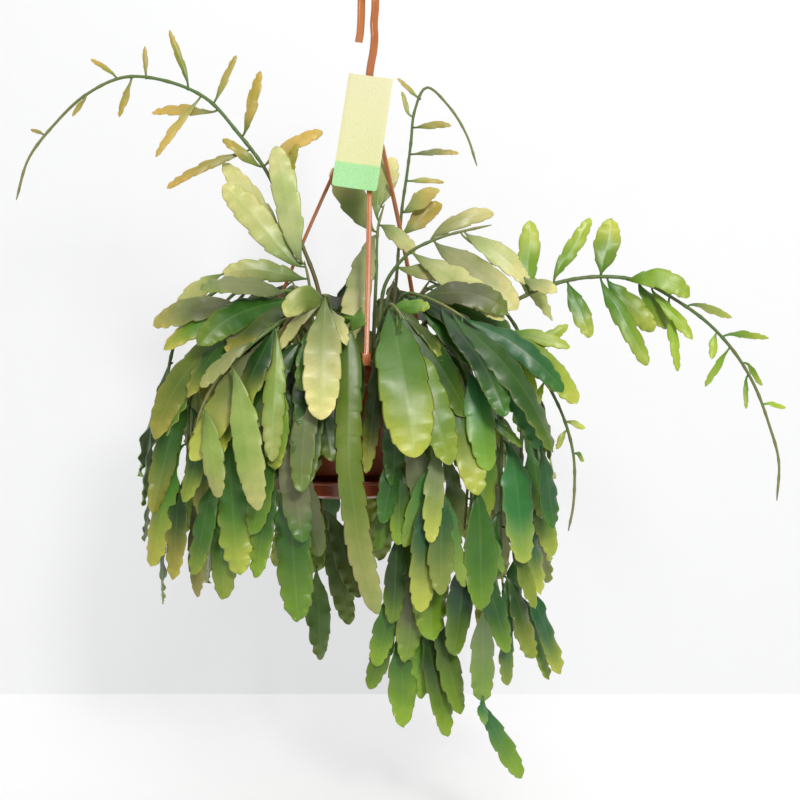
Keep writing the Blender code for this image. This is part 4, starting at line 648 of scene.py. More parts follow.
        (6.2, 0.2, 1.6), (10.0, 2.0, 2.0), (13.2, 3.8, -2.6), (13.6, 4.6, -9.0), (13.4, 5.0, -16.0),
        (13.4, 5.0, -22.0),
    ], [
        ((13.5, -6.6), (15.4, 6.0, -14.2), 1.9, 0.5), ((13.5, -13.0), (15.4, 5.6, -21.0), 1.8, 0.4),
        ((13.4, -19.6), (17.2, 5.6, -28.2), 2.0, 0.4), ((13.4, -21.6), (16.4, 4.0, -29.2), 1.6, 0.2),
        ((13.6, -9.6), (16.2, 4.6, -17.6), 2.1, 0.4, -20),
        ((13.4, -17.0), (12.8, 6.2, -25.0), 2.0, 0.2),
    ]),
    ("centre_right_hanging", (0.6, 6.0), 9, 0.6, [
        (1.4, 7.3, 1.3), (2.5, 9.2, 1.0), (3.0, 10.0, -2.5), (2.9, 9.8, -9.0), (2.7, 8.6, -17.0),
        (2.7, 7.0, -24.0),
    ], [
        ((2.9, -8.6), (2.6, 10.6, -15.4), 1.6, 0.2), ((2.8, -9.8), (0.9, 9.6, -16.2), 1.4, 0.2),
        ((2.7, -14.6), (2.2, 9.4, -22.6), 1.8, 0.2), ((2.7, -23.6), (3.2, 7.4, -32.4), 2.3, 0.2),
        ((2.7, -22.0), (1.0, 7.2, -29.0), 1.7, 0.2), ((2.7, -19.4), (0.6, 8.0, -26.6), 1.9, 0.2),
    ]),
    ("hanging_behind_pot", (-3.4, -6.0), 9, 0.2, [
        (-3.6, -8.2, 1.2), (-4.0, -10.4, 1.2), (-4.6, -11.4, -4.0), (-5.0, -10.4, -12.0),
        (-4.8, -8.4, -18.0),
    ], [
        ((-5.0, -12.4), (-5.2, -6.8, -21.4), 2.2, 0.2),
        ((-5.2, -21.2), (-5.0, -6.2, -30.4), 2.5, 0.1, 0, 0),
        ((-4.9, -16.0), (-1.1, -6.6, -24.2), 2.2, 0.2), ((-4.8, -18.0), (-2.2, -8.4, -27.4), 2.1, 0.2),
        ((-4.6, -5.0), (-7.4, -12.6, -14.0), 2.4, 0.4), ((-4.5, -3.6), (-2.2, -13.0, -12.6), 2.5, 0.6),
    ]),
]
THIN_STEMS = ("thin_stem_behind", "lower_stem_right")


def featured_shoots():
    shoots = []
    for name, hole, count, front_share, points, blades in FEATURED:
        radius = THIN_STEM_RADIUS if name in THIN_STEMS else STEM_RADIUS
        route = rooted(hole, points, count)
        shoots.append(Shoot(name, route, [Blade(*blade) for blade in blades], radius,
                            front_share=front_share))
    return shoots


# Of the inner, middle and outer hanging stems: how far from the pot's axis each has its root,
# how high it arches, how far out it goes and how far down
HANGING_LAYERS = ((7.2, 1.6, 11.2, 15.0), (5.0, 4.6, 14.2, 17.0), (2.8, 6.6, 17.2, 14.0))
HANGING_POINTS = 7
HANGING_BLADES = 5
BLADE_LENGTHS = (8.5, 11.5)
BLADE_WIDTHS = (2.1, 3.0)
ASIDE = (1.6, 3.4)              # of a blade's tip, left or right of its stem
CROWN_POINTS = 5
CROWN_WIDTHS = (2.1, 2.9)
CROWN_DRIFTS = (-5.2, 4.4, -2.4, 1.6)       # of the blades' tips, to both sides of their stem


def hanging_shoot(name, degrees, layer, rng):
    """A stem that stands in the soil, arches over the rim and hangs, with blades by turns
    left and right of it. The nearer its root is to the middle, the higher and farther it goes."""
    root_r, rise, reach, drop = HANGING_LAYERS[layer]
    angle = math.radians(degrees)
    reach += rng.uniform(-0.6, 0.8)
    drop += rng.uniform(-2.5, 3.5)
    away = Vector((math.sin(angle), math.cos(angle)))

    def at(radius, up, drift=0.0):
        side = Vector((away.y, -away.x)) * drift
        return (POT_OFF_PLUMB / CM + away.x * radius + side.x, away.y * radius + side.y, up)

    drift = rng.uniform(-1.2, 1.2)
    points = [at(root_r + 0.6, 1.2), at((root_r + reach) / 2, rise), at(reach - 1.2, rise * 0.35),
              at(reach, -0.4 * drop, drift * 0.5), at(reach - 0.5, -drop, drift)]
    root = at(root_r, 0)
    blades = []
    top = rise * 0.7
    for number in range(HANGING_BLADES):
        share = (number + 0.2) / HANGING_BLADES
        up = top - (drop + top) * share
        side = (-1 if number % 2 else 1) * rng.uniform(*ASIDE)
        length = rng.uniform(*BLADE_LENGTHS)
        width = rng.uniform(*BLADE_WIDTHS)
        here = reach if number else (root_r + reach) / 2
        start = at(here, up, drift * share)
        far = here + rng.uniform(1.2, 2.4) + (0 if number else 3.0)
        end = at(far, up - length, drift * share + side)
        blades.append(Blade(start, end, width, rng.uniform(0.6, 1.4), rng.uniform(-22, 22)))
    return Shoot(name, rooted(root[:2], points, HANGING_POINTS), blades, sides=3, front_share=0.0)


def crown_shoot(name, degrees, rng):
    """A short stem in the middle of the pot, with blades that fan out over the rim."""
    angle = math.radians(degrees)
    away = Vector((math.sin(angle), math.cos(angle)))
    across = Vector((away.y, -away.x))

    def at(radius, drift, up):
        return (POT_OFF_PLUMB / CM + away.x * radius + across.x * drift,
                away.y * radius + across.y * drift, up)

    root_r = rng.uniform(5.4, 6.2)
    points = [at(root_r + 0.3, 0, 2.0), at(root_r + 1.0, 0, 5.0), at(root_r + 2.4, 0, 7.2)]
    blades = []
    for number, drift in enumerate(CROWN_DRIFTS):
        start = at(root_r + 0.8 + 0.5 * number, 0, 4.4 + 0.9 * number)
        end = at(rng.uniform(12.4, 15.6) - 0.3 * abs(drift), drift, rng.uniform(-3.6, 3.0))
        blades.append(Blade(start, end, rng.uniform(*CROWN_WIDTHS), rng.uniform(1.6, 2.8), 5 * drift))
    root = at(root_r, 0, 0)
    return Shoot(name, rooted(root[:2], points, CROWN_POINTS), blades, sides=3, front_share=0.0)


# How each ruled stem is made, its name, its degrees from the front towards the right, and for
# a hanging stem its layer: 0 inner, 1 middle, 2 outer
RULED = [
    (hanging_shoot, "left_side_low", -84, 0),
    (hanging_shoot, "left_side_outer", -112, 2),
    (hanging_shoot, "left_high_outer", -76, 2),
    (hanging_shoot, "left_back_middle", -126, 1),
    (hanging_shoot, "left_back_outer", -148, 2),
    (hanging_shoot, "back_left_low", -164, 0),
    (hanging_shoot, "back_left_middle", -172, 1),
    (hanging_shoot, "back_outer", 178, 2),
    (hanging_shoot, "back_right_low", 160, 0),
    (hanging_shoot, "back_right_middle", 146, 1),
    (hanging_shoot, "back_right_outer", 128, 2),
    (hanging_shoot, "right_back_middle", 108, 1),
    (hanging_shoot, "right_side_outer", 92, 2),
    (hanging_shoot, "right_side_low", 82, 0),
    (crown_shoot, "crown_left", -96),
    (crown_shoot, "crown_back_left", -136),
    (crown_shoot, "crown_back", -176),
    (crown_shoot, "crown_back_right", 144),
    (crown_shoot, "crown_right", 104),
]


TURNS = 24                      # that a ruled stem may try
TURN_STEP = 3                   # degrees


def grow_plant(holder):
    """Places every leafy stem clear of the holder and of the others: the featured ones first,
    then the ruled ones, each turned a little further until its stem is clear."""
    garden = Garden()
    for item in holder:
        item.data.calc_loop_triangles()
        points = [vertex.co for vertex in item.data.vertices]
        garden.add(item.name, (points, [tuple(t.vertices) for t in item.data.loop_triangles]))
    featured = [shoot for shoot in featured_shoots() if shoot.place_stem(garden)]
    for shoot in featured:
        shoot.place_blades(garden)
    rng = random.Random(SEED)
    ruled = []
    for make, name, degrees, *layer in RULED:
        for attempt in range(TURNS):
            turn = (attempt + 1) // 2 * (TURN_STEP if attempt % 2 else -TURN_STEP)
            shoot = make(name, degrees + turn, *layer, rng)
            if shoot.place_stem(garden):
                ruled.append(shoot)
                break
    for shoot in ruled:
        shoot.place_blades(garden, wide=True)
    return featured + ruled, garden


# Colours, as they look on a screen, 0 to 255

def colour(red, green, blue):
    """A screen colour as linear light."""
    return tuple((c / 255 / 12.92) if c / 255 <= 0.04045 else ((c / 255 + 0.055) / 1.055) ** 2.4
                 for c in (red, green, blue))


PALE = colour(172, 178, 122)
SAGE = colour(134, 150, 80)
OLIVE = colour(112, 130, 40)
GRASS = colour(64, 112, 26)
LIME = colour(138, 168, 40)
DARK = colour(34, 76, 16)
TEAL = colour(42, 100, 56)
MAUVE = colour(126, 122, 90)
YELLOW = colour(184, 188, 72)
CREAM = colour(226, 214, 142)
ORANGE = colour(208, 168, 80)
KHAKI = colour(162, 158, 96)
STRAW = colour(186, 172, 72)
ROSE = colour(150, 122, 88)
STEM_GREEN = colour(70, 104, 40)
STEM_TIP = colour(150, 138, 84)
STEM_BROWN = colour(104, 88, 50)
AREOLE = colour(150, 134, 84)
RIB = colour(170, 186, 112)
LEAF_RIM = colour(176, 172, 78)
DUST = colour(206, 170, 140)
CARD_TOP = colour(190, 186, 136)
CARD_LOW = colour(184, 184, 122)
CARD_LINE = colour(150, 186, 104)
CARD_WORN = colour(255, 255, 240)

# Two that a paint lies between
CARD_FOOT = (colour(118, 182, 108), colour(122, 186, 110))
TERRACOTTA = (colour(158, 68, 27), colour(114, 41, 16))
COPPER = (colour(184, 112, 58), colour(164, 90, 42))
PEAT = (colour(70, 50, 36), colour(30, 22, 17))
BARK = (colour(122, 84, 54), colour(62, 42, 28))
PUMICE = (colour(206, 200, 186), colour(150, 142, 128))

# A leafy stem's colours: two that its leaves lie between, that of their tips, and how far
# down from the tip it reaches
TONES = {
    "arching_stem_left": (KHAKI, OLIVE, ORANGE, 0.8),
    "upper_left_shoot": (PALE, SAGE, CREAM, 0.6),
    "middle_shoot": (PALE, SAGE, CREAM, 0.5),
    "thin_stem_behind": (SAGE, PALE, ORANGE, 0.6),
    "middle_right_shoot": (KHAKI, PALE, CREAM, 0.5),
    "arching_stem_right": (LIME, GRASS, YELLOW, 0.6),
    "lower_stem_right": (LIME, GRASS, YELLOW, 0.6),
    "front_right_fan": (OLIVE, GRASS, YELLOW, 0.32),
    "front_left_fan": (SAGE, OLIVE, CREAM, 0.45),
    "front_strap": (GRASS, OLIVE, KHAKI, 0.4),
    "left_pale_shoot": (SAGE, OLIVE, KHAKI, 0.45),
    "left_arch_shoot": (GRASS, OLIVE, STRAW, 0.3),
    "left_front_hanging": (GRASS, DARK, YELLOW, 0.4),
    "left_hanging": (GRASS, DARK, STRAW, 0.4),
    "front_left_inner": (DARK, GRASS, LIME, 0.35),
    "front_left_cover": (DARK, GRASS, OLIVE, 0.3),
    "right_front_hanging": (TEAL, GRASS, YELLOW, 0.45),
    "right_long_hanging": (GRASS, TEAL, LIME, 0.5),
    "right_dark_strap": (DARK, TEAL, GRASS, 0.3),
    "right_inner_long": (GRASS, DARK, LIME, 0.5),
    "right_side_hanging": (TEAL, GRASS, YELLOW, 0.4),
    "right_outer_hanging": (TEAL, GRASS, YELLOW, 0.4),
    "centre_right_hanging": (DARK, GRASS, LIME, 0.45),
    "hanging_behind_pot": (GRASS, DARK, OLIVE, 0.4),
}
OTHER_TONES = [(DARK, GRASS, YELLOW, 0.4), (GRASS, OLIVE, YELLOW, 0.4), (TEAL, DARK, LIME, 0.3),
               (OLIVE, SAGE, CREAM, 0.4)]


# Materials

NOISE_ROUGHNESS = 0.55


class Paint:
    """A material, whose nodes are added one at a time and wired to its shader."""

    def __init__(self, name, **fixed):
        self.material = bpy.data.materials.new(name)
        self.material.use_nodes = True
        self.nodes = self.material.node_tree.nodes
        self.links = self.material.node_tree.links
        self.shader = self.nodes["Principled BSDF"]
        self.wear(**fixed)
        self.place = self.nodes.new("ShaderNodeTexCoord").outputs["Object"]

    def wear(self, **sockets):
        """Sets or wires the shader's sockets of these names."""
        for key, value in sockets.items():
            self.put(self.shader.inputs[key.replace("_", " ").title()], value)

    def put(self, socket, value):
        if isinstance(value, bpy.types.NodeSocket):
            self.links.new(value, socket)
        else:
            socket.default_value = value

    def attribute(self, name, output="Fac"):
        node = self.nodes.new("ShaderNodeAttribute")
        node.attribute_name = name
        return node.outputs[output]

    def stretched(self, scale):
        node = self.nodes.new("ShaderNodeMapping")
        self.links.new(self.place, node.inputs["Vector"])
        node.inputs["Scale"].default_value = scale
        return node.outputs[0]

    def noise(self, scale, detail=3, vector=None):
        node = self.nodes.new("ShaderNodeTexNoise")
        self.links.new(vector or self.place, node.inputs["Vector"])
        node.inputs["Scale"].default_value = scale
        node.inputs["Detail"].default_value = detail
        node.inputs["Roughness"].default_value = NOISE_ROUGHNESS
        return node.outputs[0]

    def cells(self, scale):
        node = self.nodes.new("ShaderNodeTexVoronoi")
        self.links.new(self.place, node.inputs["Vector"])
        node.inputs["Scale"].default_value = scale
        return node.outputs["Distance"]

    def between(self, value, low, high, to_low=0.0, to_high=1.0):
        """value carried from low..high to to_low..to_high, and held there."""
        node = self.nodes.new("ShaderNodeMapRange")
        self.put(node.inputs["Value"], value)
        for name, number in (("From Min", low), ("From Max", high), ("To Min", to_low),
                             ("To Max", to_high)):
            node.inputs[name].default_value = number
        return node.outputs[0]

    def calc(self, operation, a, b=0.0):
        node = self.nodes.new("ShaderNodeMath")
        node.operation = operation
        self.put(node.inputs[0], a)
        self.put(node.inputs[1], b)
        return node.outputs[0]

    def mix(self, share, a, b, blend="MIX"):
        node = self.nodes.new("ShaderNodeMix")
        node.data_type = "RGBA"
        node.blend_type = blend
        self.put(node.inputs[0], share)
        for socket, value in ((node.inputs[6], a), (node.inputs[7], b)):
            self.put(socket, value if isinstance(value, bpy.types.NodeSocket) else (*value, 1))
        return node.outputs[2]

    def bump(self, height, distance, strength=1.0):
        """Adds a relief of that many metres on top of what is there."""
        node = self.nodes.new("ShaderNodeBump")
        self.put(node.inputs["Height"], height)
        node.inputs["Distance"].default_value = distance
        node.inputs["Strength"].default_value = strength
        normal = self.shader.inputs["Normal"]
        if normal.is_linked:
            self.links.new(normal.links[0].from_socket, node.inputs["Normal"])
        self.links.new(node.outputs[0], normal)


# How deep each paint's relief is
WAX_RELIEF = 0.06 * MM
LEAF_SWELL = 0.6 * MM
BARK_RELIEF = 0.3 * MM
WOOL_RELIEF = 0.2 * MM
MOULD_RELIEF = 0.04 * MM
SCRATCH_RELIEF = 0.05 * MM
CARD_RELIEF = 0.03 * MM
CRUMB_RELIEF = 1.2 * MM
GRIT_RELIEF = 0.6 * MM
WALL_RELIEF = 0.3 * MM


def leaf_paint():
    """Waxy leaf: clouded green with a faint rib, yellower edges and a soft sheen."""
    paint = Paint("leaf_skin", coat_weight=0.2, coat_roughness=0.3)
    paint.shader.inputs["Specular IOR Level"].default_value = 0.35
    tint = paint.attribute("tint", "Color")
    across = paint.calc("ABSOLUTE", paint.attribute("across"))
    along = paint.attribute("along")
    cloud = paint.between(paint.noise(34, detail=4), 0.38, 0.66)
    speck = paint.between(paint.noise(520, detail=3), 0.42, 0.72)
    deeper = paint.mix(1.0, tint, (0.6, 0.78, 0.5), "MULTIPLY")
    skin = paint.mix(paint.calc("MULTIPLY", cloud, 0.75), tint, deeper)
    paler = paint.mix(1.0, skin, (1.22, 1.16, 1.25), "MULTIPLY")
    skin = paint.mix(paint.calc("MULTIPLY", speck, 0.45), skin, paler)
    rib = paint.between(across, 0.02, 0.1, 0.06, 0.0)
    skin = paint.mix(rib, skin, RIB)
    edge = paint.between(across, 0.85, 1.0, 0.0, 0.14)
    skin = paint.mix(edge, skin, LEAF_RIM)
    paint.wear(base_color=skin, roughness=paint.between(paint.noise(90), 0.3, 0.7, 0.36, 0.54))
    slant = paint.calc("MULTIPLY", across, -4.0)
    vein_place = paint.calc("ADD", paint.calc("MULTIPLY", along, 900.0), slant)
    paint.bump(paint.noise(1600, detail=2), WAX_RELIEF, 0.5)
    paint.bump(paint.noise(48, detail=3), LEAF_SWELL, 0.35)
    paint.bump(paint.between(paint.calc("SINE", vein_place), -1.0, 1.0), WAX_RELIEF, 0.5)
    return paint.material


def stem_paint():
    paint = Paint("stem_skin", coat_weight=0.05)
    tint = paint.attribute("tint", "Color")
    streak = paint.between(paint.noise(300, detail=3, vector=paint.stretched((1, 1, 0.25))), 0.4, 0.7)
    paint.wear(base_color=paint.mix(paint.calc("MULTIPLY", streak, 0.5), tint, STEM_BROWN),
               roughness=paint.between(paint.noise(200), 0.3, 0.7, 0.45, 0.65))
    paint.bump(streak, BARK_RELIEF, 0.6)
    return paint.material


def areole_paint():
    paint = Paint("areole")
    paint.wear(base_color=paint.mix(paint.noise(2500), AREOLE, STEM_BROWN),
               roughness=paint.between(paint.noise(900), 0.3, 0.7, 0.7, 0.9))
    paint.bump(paint.noise(4000), WOOL_RELIEF)
    return paint.material


def plastic_paint(name, base, shade, roughness):
    """Moulded plastic, a little clouded, with fine scratches and dust."""
    paint = Paint(name, coat_weight=0.45, coat_roughness=0.12)
    cloud = paint.between(paint.noise(28, detail=4), 0.35, 0.68)
    dust = paint.between(paint.noise(900, detail=2), 0.58, 0.75, 0.0, 0.12)
    scratch = paint.between(paint.noise(160, detail=2, vector=paint.stretched((1, 1, 0.06))), 0.6, 0.72)
    skin = paint.mix(dust, paint.mix(cloud, shade, base), DUST)
    paint.wear(base_color=skin,
               roughness=paint.calc("ADD", paint.between(cloud, 0, 1, roughness + 0.1, roughness),
                                   paint.calc("MULTIPLY", scratch, 0.12)))
    paint.bump(paint.noise(2600, detail=2), MOULD_RELIEF, 0.5)
    paint.bump(scratch, SCRATCH_RELIEF, 0.4)
    return paint.material


def card_paint():
    """A printed card: pale above, and a plain green foot below a thin line."""
    paint = Paint("card", coat_weight=0.25, coat_roughness=0.25)
    down = paint.attribute("along")
    fibre = paint.between(paint.noise(700, detail=3), 0.3, 0.7)
    pale = paint.mix(paint.between(down, 0.0, 0.75), CARD_TOP, CARD_LOW)
    foot = paint.mix(fibre, *CARD_FOOT)
    line = paint.between(down, 0.776, 0.779)
    lined = paint.mix(line, pale, CARD_LINE)
    print_now = paint.mix(paint.between(down, 0.788, 0.791), lined, foot)
    print_now = paint.mix(paint.calc("MULTIPLY", fibre, 0.12), print_now, CARD_WORN)
    paint.wear(base_color=print_now, roughness=paint.between(fibre, 0, 1, 0.38, 0.5))
    paint.bump(fibre, CARD_RELIEF)
    return paint.material


def soil_paint(name, base, shade):
    paint = Paint(name)
    crumb = paint.between(paint.cells(420), 0.1, 0.6)
    paint.wear(base_color=paint.mix(paint.calc("MULTIPLY", crumb, paint.noise(160)), shade, base),
               roughness=paint.between(crumb, 0, 1, 0.85, 0.98))
    paint.bump(crumb, CRUMB_RELIEF)
    paint.bump(paint.noise(1500, detail=4), GRIT_RELIEF)
    return paint.material


STAGE_GLOW = 0.47


def stage_paint(name, base, roughness, marks):
    """White paint, lit a little from within as by a bright room."""
    paint = Paint(name, emission_strength=STAGE_GLOW, emission_color=(1, 1, 1, 1))
    cloud = paint.between(paint.noise(3, detail=3), 0.3, 0.7)
    paint.wear(base_color=paint.mix(cloud, tuple(c * 0.985 for c in base), base),
               roughness=paint.between(paint.noise(20), 0.3, 0.7, roughness, roughness + 0.08))
    paint.bump(paint.noise(marks, 3), WALL_RELIEF, 0.3)
    return paint.material


# Meshes

class Piece:
    """Collects the points, faces and painted values of one piece, then makes its object."""

    def __init__(self, name, materials):
        self.name = name
        self.materials = materials
        self.points = []
        self.faces = []
        self.kinds = []
        self.painted = {"tint": [], "across": [], "along": []}
        self.count = 0

    def add(self, points, faces, kind=0, tint=None, across=None, along=None):
        """Adds faces of the material numbered kind, with a painted value for each point."""
        points = np.asarray(points, float)
        size = len(points)
        self.points.append(points)
        base = self.count
        self.faces += [tuple(base + i for i in face) for face in faces]
        self.kinds += [kind] * len(faces)
        tint = np.ones((size, 3)) if tint is None else np.broadcast_to(tint, (size, 3))
        self.painted["tint"].append(tint)
        self.painted["across"].append(np.zeros(size) if across is None else across)
        self.painted["along"].append(np.zeros(size) if along is None else along)
        self.count += size

    def make(self, smooth=True):
        mesh = bpy.data.meshes.new(self.name)
        mesh.from_pydata(np.concatenate(self.points).tolist(), [], self.faces)
        for material in self.materials:
            mesh.materials.append(material)
        mesh.polygons.foreach_set("material_index", self.kinds)
        mesh.polygons.foreach_set("use_smooth", [smooth] * len(self.faces))
        tint = np.concatenate(self.painted["tint"])
        layer = mesh.attributes.new("tint", "FLOAT_COLOR", "POINT")
        layer.data.foreach_set("color", np.column_stack([tint, np.ones(len(tint))]).ravel())
        for name in ("across", "along"):
            layer = mesh.attributes.new(name, "FLOAT", "POINT")
            layer.data.foreach_set("value", np.concatenate(self.painted[name]).ravel())
        mesh.update()
        made = bpy.data.objects.new(self.name, mesh)
        bpy.context.scene.collection.objects.link(made)
        return made


def dress(made, node):
    """Lets a fine piece stand for its solid."""
    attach(made, "root")
    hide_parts(node)


def bake(item):
    """Applies an object's modifiers."""
    graph = bpy.context.evaluated_depsgraph_get()
    graph.update()
    result = bpy.data.meshes.new_from_object(item.evaluated_get(graph))
    item.modifiers.clear()
    item.data = result


def cut(target, cutter):
    """Cuts what the cutter's faces enclose out of an object."""
    tool = cutter.make()
    step = target.modifiers.new("cut", "BOOLEAN")
    step.operation = "DIFFERENCE"
    step.object = tool
    bake(target)
    bpy.data.objects.remove(tool, do_unlink=True)


def mark_edges(item, degrees=38):
    """Keeps the shading crisp over sharp edges."""
    work = bmesh.new()
    work.from_mesh(item.data)
    for edge in work.edges:
        edge.smooth = len(edge.link_faces) != 2 or edge.calc_face_angle(0) < math.radians(degrees)
    work.to_mesh(item.data)
    work.free()


def add_slab(piece, ring, push, bevel=0.0):
    """A flat outline, made as thick as push. It may be hollow: Blender splits its two faces."""
    work = bmesh.new()
    verts = [work.verts.new(spot) for spot in ring] + [work.verts.new(spot + push) for spot in ring]
    for face in ring_faces(2, len(ring)):
        work.faces.new([verts[i] for i in face])
    bmesh.ops.recalc_face_normals(work, faces=work.faces)
    if bevel:
        bmesh.ops.bevel(work, geom=list(work.edges), offset=bevel, segments=2, affect="EDGES", profile=0.6)
        work = in_order(work)
    bmesh.ops.triangulate(work, faces=work.faces)
    work.verts.index_update()
    piece.add([tuple(v.co) for v in work.verts], [tuple(v.index for v in f.verts) for f in work.faces])
    work.free()


def in_order(work):
    """The same mesh with its points and faces sorted, because a bevel leaves them in any order."""
    work.verts.index_update()
    order = sorted(work.verts, key=lambda v: tuple(v.co))
    number = {v.index: i for i, v in enumerate(order)}
    loops = []
    for face in work.faces:
        loop = [number[v.index] for v in face.verts]
        first = loop.index(min(loop))
        loops.append(loop[first:] + loop[:first])
    found = bmesh.new()
    verts = [found.verts.new(v.co) for v in order]
    for loop in sorted(loops):
        found.faces.new([verts[i] for i in loop])
    found.normal_update()
    work.free()
    return found


def unit(vectors):
    return vectors / np.maximum(np.linalg.norm(vectors, axis=-1, keepdims=True), 1e-9)


def smooth_step(values, low, high):
    share = np.clip((values - low) / (high - low), 0, 1)
    return share * share * (3 - 2 * share)


# Fine leaves

RING_STEP = 3.4 * MM
LEAF_EDGE = 0.9 * MM            # the least half width of a leaf's root
LOBE = 1.6 * CM                 # between two notches of one side, and more on a broad leaf
LOBE_OF_WIDTH = 0.22
LOBE_RANGE = (0.8 * CM, 2.8 * CM)
NOTCH_STEP = 1.1 * MM           # how far along its leaf a notch's edge reaches
NOTCH_DEEP = 1.7 * MM
NOTCH_OF_WIDTH = 0.13
NOTCHED = (0.18, 0.975)         # the part of a leaf that has notches
AREOLE_FROM = 2.2 * MM          # half width from which a notch has its cushion
STRAP_OUTLINE = ((0, 0.2), (0.03, 0.6), (0.1, 1.0), (0.3, 1.0), (0.8, 1.0), (0.95, 0.75))   # the longest leaf
BODY_TO = 0.94                  # the tip's rings begin there
TIP_MARKS = (0.955, 0.968, 0.979, 0.988, 0.994, 0.998, 1.0)
ACROSS = np.array([-1, -0.92, -0.66, -0.32, -0.1, 0, 0.1, 0.32, 0.66, 0.92, 1])
RING_ACROSS = np.concatenate([ACROSS, ACROSS[-2:0:-1]])
RING_SIDE = np.concatenate([[0], np.ones(9), [0], -np.ones(9)])    # front, edge or back
FINE = np.linspace(0, 1, 600)


def bezier(controls, t):
    a, b, c, d = controls
    t = t[:, None]
    u = 1 - t
    return a * u ** 3 + 3 * b * t * u * u + 3 * c * t * t * u + d * t ** 3


def breadth_along(outline, t):
    """The smooth outline of a leaf, as a share of its half width, rounded off at its tip."""
    fine = np.linspace(0, 1, 241)
    closing_from = outline[-1][0] * 0.97
    raw = np.interp(fine, [p for p, _ in outline], [q for _, q in outline])
    soft = np.convolve(np.pad(raw, 12, "edge"), np.ones(25) / 25, "valid")
    closing = np.clip((fine - closing_from) / (1 - closing_from), 0, 1)
    return np.interp(t, fine, soft * np.clip(1 - closing ** 1.8, 0, 1) ** 0.62)


def sides_along(ahead, facing):
    """The way each ring's width runs, carried without a flip from the tip to the root."""
    sides = np.cross(ahead, facing)
    firm = np.linalg.norm(sides, axis=1)
    sides = unit(sides)
    for i in range(len(sides) - 2, -1, -1):
        kept = sides[i + 1] - ahead[i] * np.dot(sides[i + 1], ahead[i])
        if np.dot(sides[i], kept) < 0:
            sides[i] = -sides[i]
        hold = 1 - min(1, firm[i] / 0.4)
        sides[i] = unit(sides[i] * (1 - hold) + unit(kept) * hold)
    return sides


def lobe_edge(share, length):
    """The edge between two notches: it swells out towards the tip, then steps in sharply."""
    step = NOTCH_STEP / length
    swell = np.sin(np.clip(share / 0.72, 0, 1) * math.pi / 2)
    return np.where(share > 1 - step, np.clip((1 - share) / step, 0, 1), swell)


def along_curves(curves, count=121):
    """A line along one curve, or through several that follow on from each other."""
    shares = np.linspace(0, 1, count)
    spots = np.concatenate([bezier(np.array([tuple(p) for p in curve]), shares) for curve in curves])
    if len(curves) > 1:
        soft = np.pad(spots, ((30, 30), (0, 0)), "edge")
        window = np.hanning(63)[1:-1]
        window = window / window.sum()
        spots = np.column_stack([np.convolve(soft[:, i], window, "valid") for i in range(3)])
    run = np.concatenate([[0], np.cumsum(np.linalg.norm(np.diff(spots, axis=0), axis=1))])
    return spots, run


def lobes_along(length, width, start):
    """A lobe's length, and how many lobes lie below each fine step along a leaf."""
    wanted = LOBE + LOBE_OF_WIDTH * width
    lobe = np.clip(length / max(2, round(length / wanted)), *LOBE_RANGE)
    return lobe, FINE * length / lobe + start + 1.2 * smooth_step(FINE, 0.75, 1.05)


def find_notches(phases):
    """Where the notches of the left and the right side lie, by turns."""
    notches = {}
    for side_sign, offset in ((-1, 0.0), (1, 0.5)):
        numbers = np.arange(math.ceil(phases[0] + offset), math.floor(phases[-1] + offset) + 1)
        spots = np.interp(numbers - offset, phases, FINE)
        notches[side_sign] = spots[(spots > NOTCHED[0]) & (spots < NOTCHED[1])]
    return notches


def ring_marks(length, notches):
    """Where a leaf's rings lie along it: evenly, closer at the tip, and two at each notch."""
    every = np.concatenate(list(notches.values()))
    steps = max(10, round(BODY_TO * length / RING_STEP))
    marks = np.concatenate([np.linspace(0, BODY_TO, steps), TIP_MARKS, every, every - NOTCH_STEP / length])
    marks = np.unique(marks)
    marks = marks[np.concatenate([[True], np.diff(marks) > 0.05 * MM / length])]
    marks[-1] = 1
    return marks


def leaf_axes(spots, marks, length, facing, turn):
    """The directions at each ring: along the leaf, across it and out of its face."""
    ahead = unit(np.gradient(spots, marks * length, axis=0))
    sides = sides_along(ahead, np.array(facing))
    outs = np.cross(sides, ahead)
    if np.dot(outs[len(marks) // 2], facing) < 0:
        sides, outs = -sides, -outs
    angle = twist_along(turn, marks)[:, None]
    return (ahead, sides * np.cos(angle) + outs * np.sin(angle),
            outs * np.cos(angle) - sides * np.sin(angle))


def skin_relief(marks, phase, half, width, rng):
    """How far each point of the rings stands out: waves, a hollow or crown, a rib and the skin."""
    u = RING_ACROSS[None, :]
    wave = rng.uniform(0.02, 0.07) * width * np.sin(math.tau * phase + rng.uniform(0, 6))
    long_wave = (rng.uniform(0.03, 0.09) * width
                 * np.sin(math.tau * marks * rng.uniform(1.0, 1.8) + rng.uniform(0, 6)))
    fade = smooth_step(marks, 0.1, 0.3)
    rise = (wave * fade)[:, None] * u * np.abs(u) - rng.uniform(-0.04, 0.18) * half[:, None] * u * u
    rise = rise + (long_wave * fade)[:, None] * u
    thick = (0.34 + 0.3 * (1 - u * u) + 0.2 * np.exp(-(u / 0.09) ** 2)) * MM
    closing = np.sqrt(np.clip((1 - marks) / 0.06, 0, 1))
    thick = thick * np.where(marks < 0.12, 1.15, 1)[:, None] * np.maximum(closing, 0.02)[:, None]
    return rise + RING_SIDE[None, :] * thick


